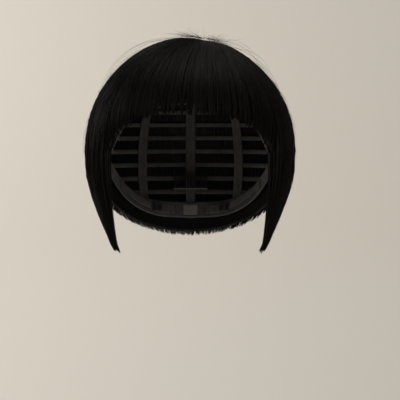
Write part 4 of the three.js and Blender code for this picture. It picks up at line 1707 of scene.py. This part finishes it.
@dataclass
class Combs:
    """The sewn-in combs, with the loops of thread that hold their spines."""

    cap: WeftedCap
    inset: float = 3.6 * MM
    tooth_length: float = 16 * MM
    tooth_pitch: float = 2.4 * MM
    places: tuple[tuple[str, float, float, int], ...] = (
        ("temple_comb_left", 63, 66, 12), ("temple_comb_right", -63, 66, 12),
        ("nape_comb", 180, 99, 13))

    def build(self) -> None:
        """Dresses the combs and makes their loops."""
        head = self.cap.head
        for name, azimuth, reach, teeth in self.places:
            dress(name, self.cap.clothes.steel)
            probe = 0.5
            along = unit(head.skin(azimuth + probe, reach) - head.skin(azimuth - probe, reach))
            out = head.outward(np.array(azimuth), np.array(reach))
            up = unit(np.cross(out, along))
            centre = head.skin(azimuth, reach) - out * self.inset - up * self.tooth_length / 2
            gaps = (np.arange(teeth - 1) - (teeth - 2) / 2) * self.tooth_pitch
            turn = np.linspace(0, 2 * math.pi, 19)
            loops = (centre + gaps[:, None, None] * along
                     + (np.cos(turn) * 1.6 * MM)[None, :, None] * up
                     + (1.25 * MM + np.sin(turn) * 2.7 * MM)[None, :, None] * out
                     + (np.sin(turn / 2) * 0.35 * MM)[None, :, None] * along)
            loop = self.cap.threads.grow(guide_lines(f"{name}_loops", loops), f"{name}_loops",
                                         radius=0.17 * MM, sides=5,
                                         material=self.cap.clothes.thread)
            settle(loop)


@dataclass
class Adjusters:
    """The pockets, elastic straps and hooks that take the cap in at the nape, and the label."""

    cap: WeftedCap
    tape_width: float = 8 * MM
    tape_thickness: float = 0.6 * MM
    ridge: float = 0.5 * MM
    pockets: int = 4
    pocket_pitch: float = 6 * MM
    tape_start: float = 149
    strap_start: float = 124
    strap_width: float = 6.5 * MM
    strap_thickness: float = 0.8 * MM
    sewn_length: float = 5 * MM
    above: float = 7 * MM
    hook_thickness: float = 1.4 * MM
    stretch: tuple[float, float] = (126, 148)
    label_size: tuple[float, float, float] = (14 * MM, 9 * MM, 0.4 * MM)

    def turn(self, length: float) -> float:
        """The degrees of azimuth that a length covers along the nape's rim."""
        reach = float(self.cap.above_rim(np.array(self.tape_start), 0))
        ends = self.cap.head.skin(np.array([self.tape_start, self.tape_start + 1.0]), reach)
        return length / float(np.linalg.norm(ends[1] - ends[0]))

    def edges(self, width: float) -> tuple[Field, Field]:
        """The two edges of a strip that runs along the rim."""
        return (lambda azimuth: self.cap.above_rim(azimuth, self.above + width / 2),
                lambda azimuth: self.cap.above_rim(azimuth, self.above - width / 2))

    def build(self) -> None:
        """Makes both adjusters and the label."""
        cap, head = self.cap, self.cap.head
        tape_outer = -cap.layer_gap
        tape_inner = tape_outer - self.tape_thickness
        hook_middle = tape_inner - self.ridge - 2 * cap.layer_gap - self.hook_thickness / 2
        pitch, half_ridge = self.turn(self.pocket_pitch), self.turn(1 * MM)
        tape_end = self.tape_start + self.turn(self.pockets * self.pocket_pitch)
        strap_end = self.tape_start - self.turn(cap.seam)

        def pocket(azimuth: np.ndarray, reach: np.ndarray) -> np.ndarray:
            """The tape's inside, with stitched ridges between swelling pockets."""
            place = (fold(azimuth) - self.tape_start) / pitch
            from_ridge = np.abs(place - np.round(place)) * pitch
            rib = 1 - smooth(from_ridge, half_ridge * 0.5, half_ridge * 1.2)
            swell = 0.15 * MM * np.sin(math.pi * np.clip(from_ridge / pitch * 2, 0, 1))
            return tape_inner - self.ridge * rib - swell

        def strap_outer(azimuth: np.ndarray, reach: np.ndarray) -> np.ndarray:
            """The strap's outside, which leaves the band for the hook's bar."""
            from_seam = (fold(azimuth) - self.strap_start) / self.turn(self.sewn_length)
            hook_side = hook_middle + self.strap_thickness / 2
            return tape_outer + (hook_side - tape_outer) * smooth(from_seam, 0.8, 1.6)

        def strap_inner(azimuth: np.ndarray, reach: np.ndarray) -> np.ndarray:
            """The strap's inside."""
            return strap_outer(azimuth, reach) - self.strap_thickness

        tacks = []
        for side in Side:
            sign = side.value
            tape = Patch(head, *sorted((sign * self.tape_start, sign * tape_end)),
                         *self.edges(self.tape_width), pocket, level(tape_outer), 0.5, 0.0016)
            settle(tape.build(f"adjuster_pockets_{side.word}", cap.clothes.band),
                   nodes=[f"pocket_tape_{side.word}"])
            strap = Patch(head, *sorted((sign * self.strap_start, sign * strap_end)),
                          *self.edges(self.strap_width), strap_inner, strap_outer, 0.8, 0.0013)
            self.settle_strap(strap.build(f"adjuster_strap_{side.word}", cap.clothes.elastic), side)
            dress(f"strap_hook_{side.word}", cap.clothes.plastic)
            for number in range(self.pockets + 1):
                at = sign * (self.tape_start + number * pitch)
                tacks.append(self.across(at, self.tape_width - 1.2 * MM,
                                         tape_inner - self.ridge - 0.08 * MM))
            tacks.append(self.across(sign * (self.strap_start + self.turn(1.5 * MM)),
                                     self.strap_width - 1.2 * MM,
                                     tape_outer - self.strap_thickness - 0.08 * MM))
        width, height, thick = self.label_size
        half = self.turn(width / 2)

        def label_inner(azimuth: np.ndarray, reach: np.ndarray) -> np.ndarray:
            """The label's face, which swells a little between its folded ends."""
            share = np.clip(np.abs(azimuth - 180) / half, 0, 1)
            return tape_outer - thick - 0.25 * MM * (1 - share**2)

        label = Patch(head, 180 - half, 180 + half, *self.edges(height), label_inner,
                      level(tape_outer), 0.6, 0.0016)
        settle(label.build("folded_label", cap.clothes.satin), nodes=["size_label"])
        for end in (-0.86, 0.86):
            tacks.append(self.across(180 + end * half, height - 1.6 * MM,
                                     tape_outer - thick - 0.14 * MM))
        thread = cap.stitches.grow(guide_lines("adjuster_tacks", np.array(tacks)),
                                   "adjuster_tacks", pitch=1.5 * MM, length=1.2 * MM,
                                   radius=0.16 * MM, material=cap.clothes.thread)
        settle(thread)

    def across(self, azimuth: float, width: float, lift: float) -> np.ndarray:
        """A short line of stitching across a strip.

        Args:
            azimuth: Where it crosses.
            width: The line's length.
            lift: The line's lift.

        Returns:
            The line's points.
        """
        at = np.full(8, azimuth)
        rise = self.above + np.linspace(0.5, -0.5, 8) * width
        reach = self.cap.above_rim(at, 0) - rise / self.cap.head.degree
        return self.cap.head.place(at, reach, np.full(8, lift))

    def settle_strap(self, strap: bpy.types.Object, side: Side) -> None:
        """Hides the CAD strap that a strap replaces and keeps the new strap where it was built.

        Args:
            strap: The strap's mesh.
            side: The wearer's side.
        """
        body = f"hook_{side.word}"
        azimuth = np.array(self.stretch, float)
        reach = self.cap.above_rim(azimuth, self.above)
        ends = self.cap.head.skin(side.value * azimuth, reach)
        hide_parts(f"nape_strap_{side.word}")
        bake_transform(strap)
        report(strap, body)


def dress(node: str, material: bpy.types.Material) -> None:
    """Gives a CAD piece that stays its finish.

    Args:
        node: The CAD node.
        material: Its new material.
    """
    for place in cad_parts[node].material_slots:
        place.material = material
    log.info("%s keeps its shape, in %s", node, material.name)


@dataclass(frozen=True)
class Lamp:
    """A soft round light: its place and target in metres and its power in watts."""

    name: str
    place: tuple[float, float, float]
    size: float
    power: float
    colour: Colour
    target: tuple[float, float, float] = (0.0, 0.0, 0.0)

    def build(self) -> None:
        """Makes the light, which the camera doesn't see."""
        light = bpy.data.lights.new(self.name, "AREA")
        light.shape, light.size = "DISK", self.size
        light.energy, light.color = self.power, self.colour
        lamp = bpy.data.objects.new(self.name, light)
        lamp.location = self.place
        towards = Vector(self.target) - Vector(self.place)
        lamp.rotation_euler = towards.to_track_quat("-Z", "Y").to_euler()
        lamp.visible_camera = False
        bpy.context.scene.collection.objects.link(lamp)


@dataclass
class Studio:
    """The floor, the wall, the lights and the camera."""

    aim: tuple[float, float, float] = (0.0087, 0.0, -0.0298)
    distance: float = 1.5
    elevation: float = 2.5
    picture_width: float = 0.348
    sensor: float = 36.0
    floor: float = -0.68
    wall: float = 2.3
    half_room: float = 3.2
    cove: float = 0.5

    def build(self) -> None:
        """Makes the whole studio."""
        self.make_sweep()
        self.make_lights()
        self.make_camera()
        bpy.context.scene.view_settings.view_transform = "Standard"

    def make_sweep(self) -> None:
        """Makes the floor and the wall as one surface with a round bend between them."""
        turns = np.linspace(0, math.pi / 2, 16)
        bend = [(self.wall - self.cove + self.cove * math.sin(turn),
                 self.floor + self.cove * (1 - math.cos(turn))) for turn in turns]
        profile = [(-3.0, self.floor), *bend, (self.wall, 2.4)]
        points = [(side * self.half_room, y, z) for y, z in profile for side in (-1, 1)]
        faces = [(2 * step, 2 * step + 1, 2 * step + 3, 2 * step + 2)
                 for step in range(len(profile) - 1)]
        mesh = bpy.data.meshes.new("floor_and_wall")
        mesh.from_pydata(points, [], faces)
        mesh.materials.append(StageFinish().build())
        mesh.shade_smooth()
        link_mesh("floor_and_wall", mesh)

    def make_lights(self) -> None:
        """Makes the soft lights and the even light of the room."""
        lamps = (
            Lamp("key", (-1.25, -1.15, 0.75), 1.1, 27.0, (1.0, 0.975, 0.94)),
            Lamp("fill", (1.1, -1.3, 0.3), 1.4, 4.0, (0.97, 0.98, 1.0)),
            Lamp("top", (-0.2, 0.1, 1.5), 1.0, 12.0, (1.0, 0.985, 0.96)),
            Lamp("wall wash", (-1.25, 1.25, 0.45), 0.6, 7.0, (1.0, 0.985, 0.955),
                 (-0.5, self.wall, 0.0)),
        )
        for lamp in lamps:
            lamp.build()
        world = bpy.data.worlds.new("room")
        world.use_nodes = True
        sky = world.node_tree.nodes["Background"]
        sky.inputs["Color"].default_value = (0.80, 0.76, 0.70, 1)
        sky.inputs["Strength"].default_value = 0.45
        bpy.context.scene.world = world

    def make_camera(self) -> None:
        """Makes the camera, level with the ears and looking at the face opening."""
        lens = bpy.data.cameras.new("camera")
        lens.sensor_width = self.sensor
        lens.lens = self.sensor * self.distance / self.picture_width
        lens.clip_start = 0.05
        camera = bpy.data.objects.new("camera", lens)
        tilt = math.radians(self.elevation)
        aim = Vector(self.aim)
        camera.location = aim + self.distance * Vector((0, -math.cos(tilt), math.sin(tilt)))
        camera.rotation_euler = (aim - camera.location).to_track_quat("-Z", "Y").to_euler()
        bpy.context.scene.collection.objects.link(camera)
        bpy.context.scene.camera = camera


def main() -> None:
    """Builds the studio and the wig in order."""
    logging.basicConfig(level=logging.INFO, format="%(message)s")
    Studio().build()
    head = HeadForm()
    outline = HairOutline(head)
    clothes = Wardrobe()
    hair = Hair(outline, clothes, StrandTree())
    hair.build()
    cap = WeftedCap(head, clothes, StitchTree(), ThreadTree())
    cap.build()
    WeftHair(hair, cap.weft_roots).build()
    EarTabs(cap).build()
    Combs(cap).build()
    Adjusters(cap).build()


if __name__ == "__main__":
    main()
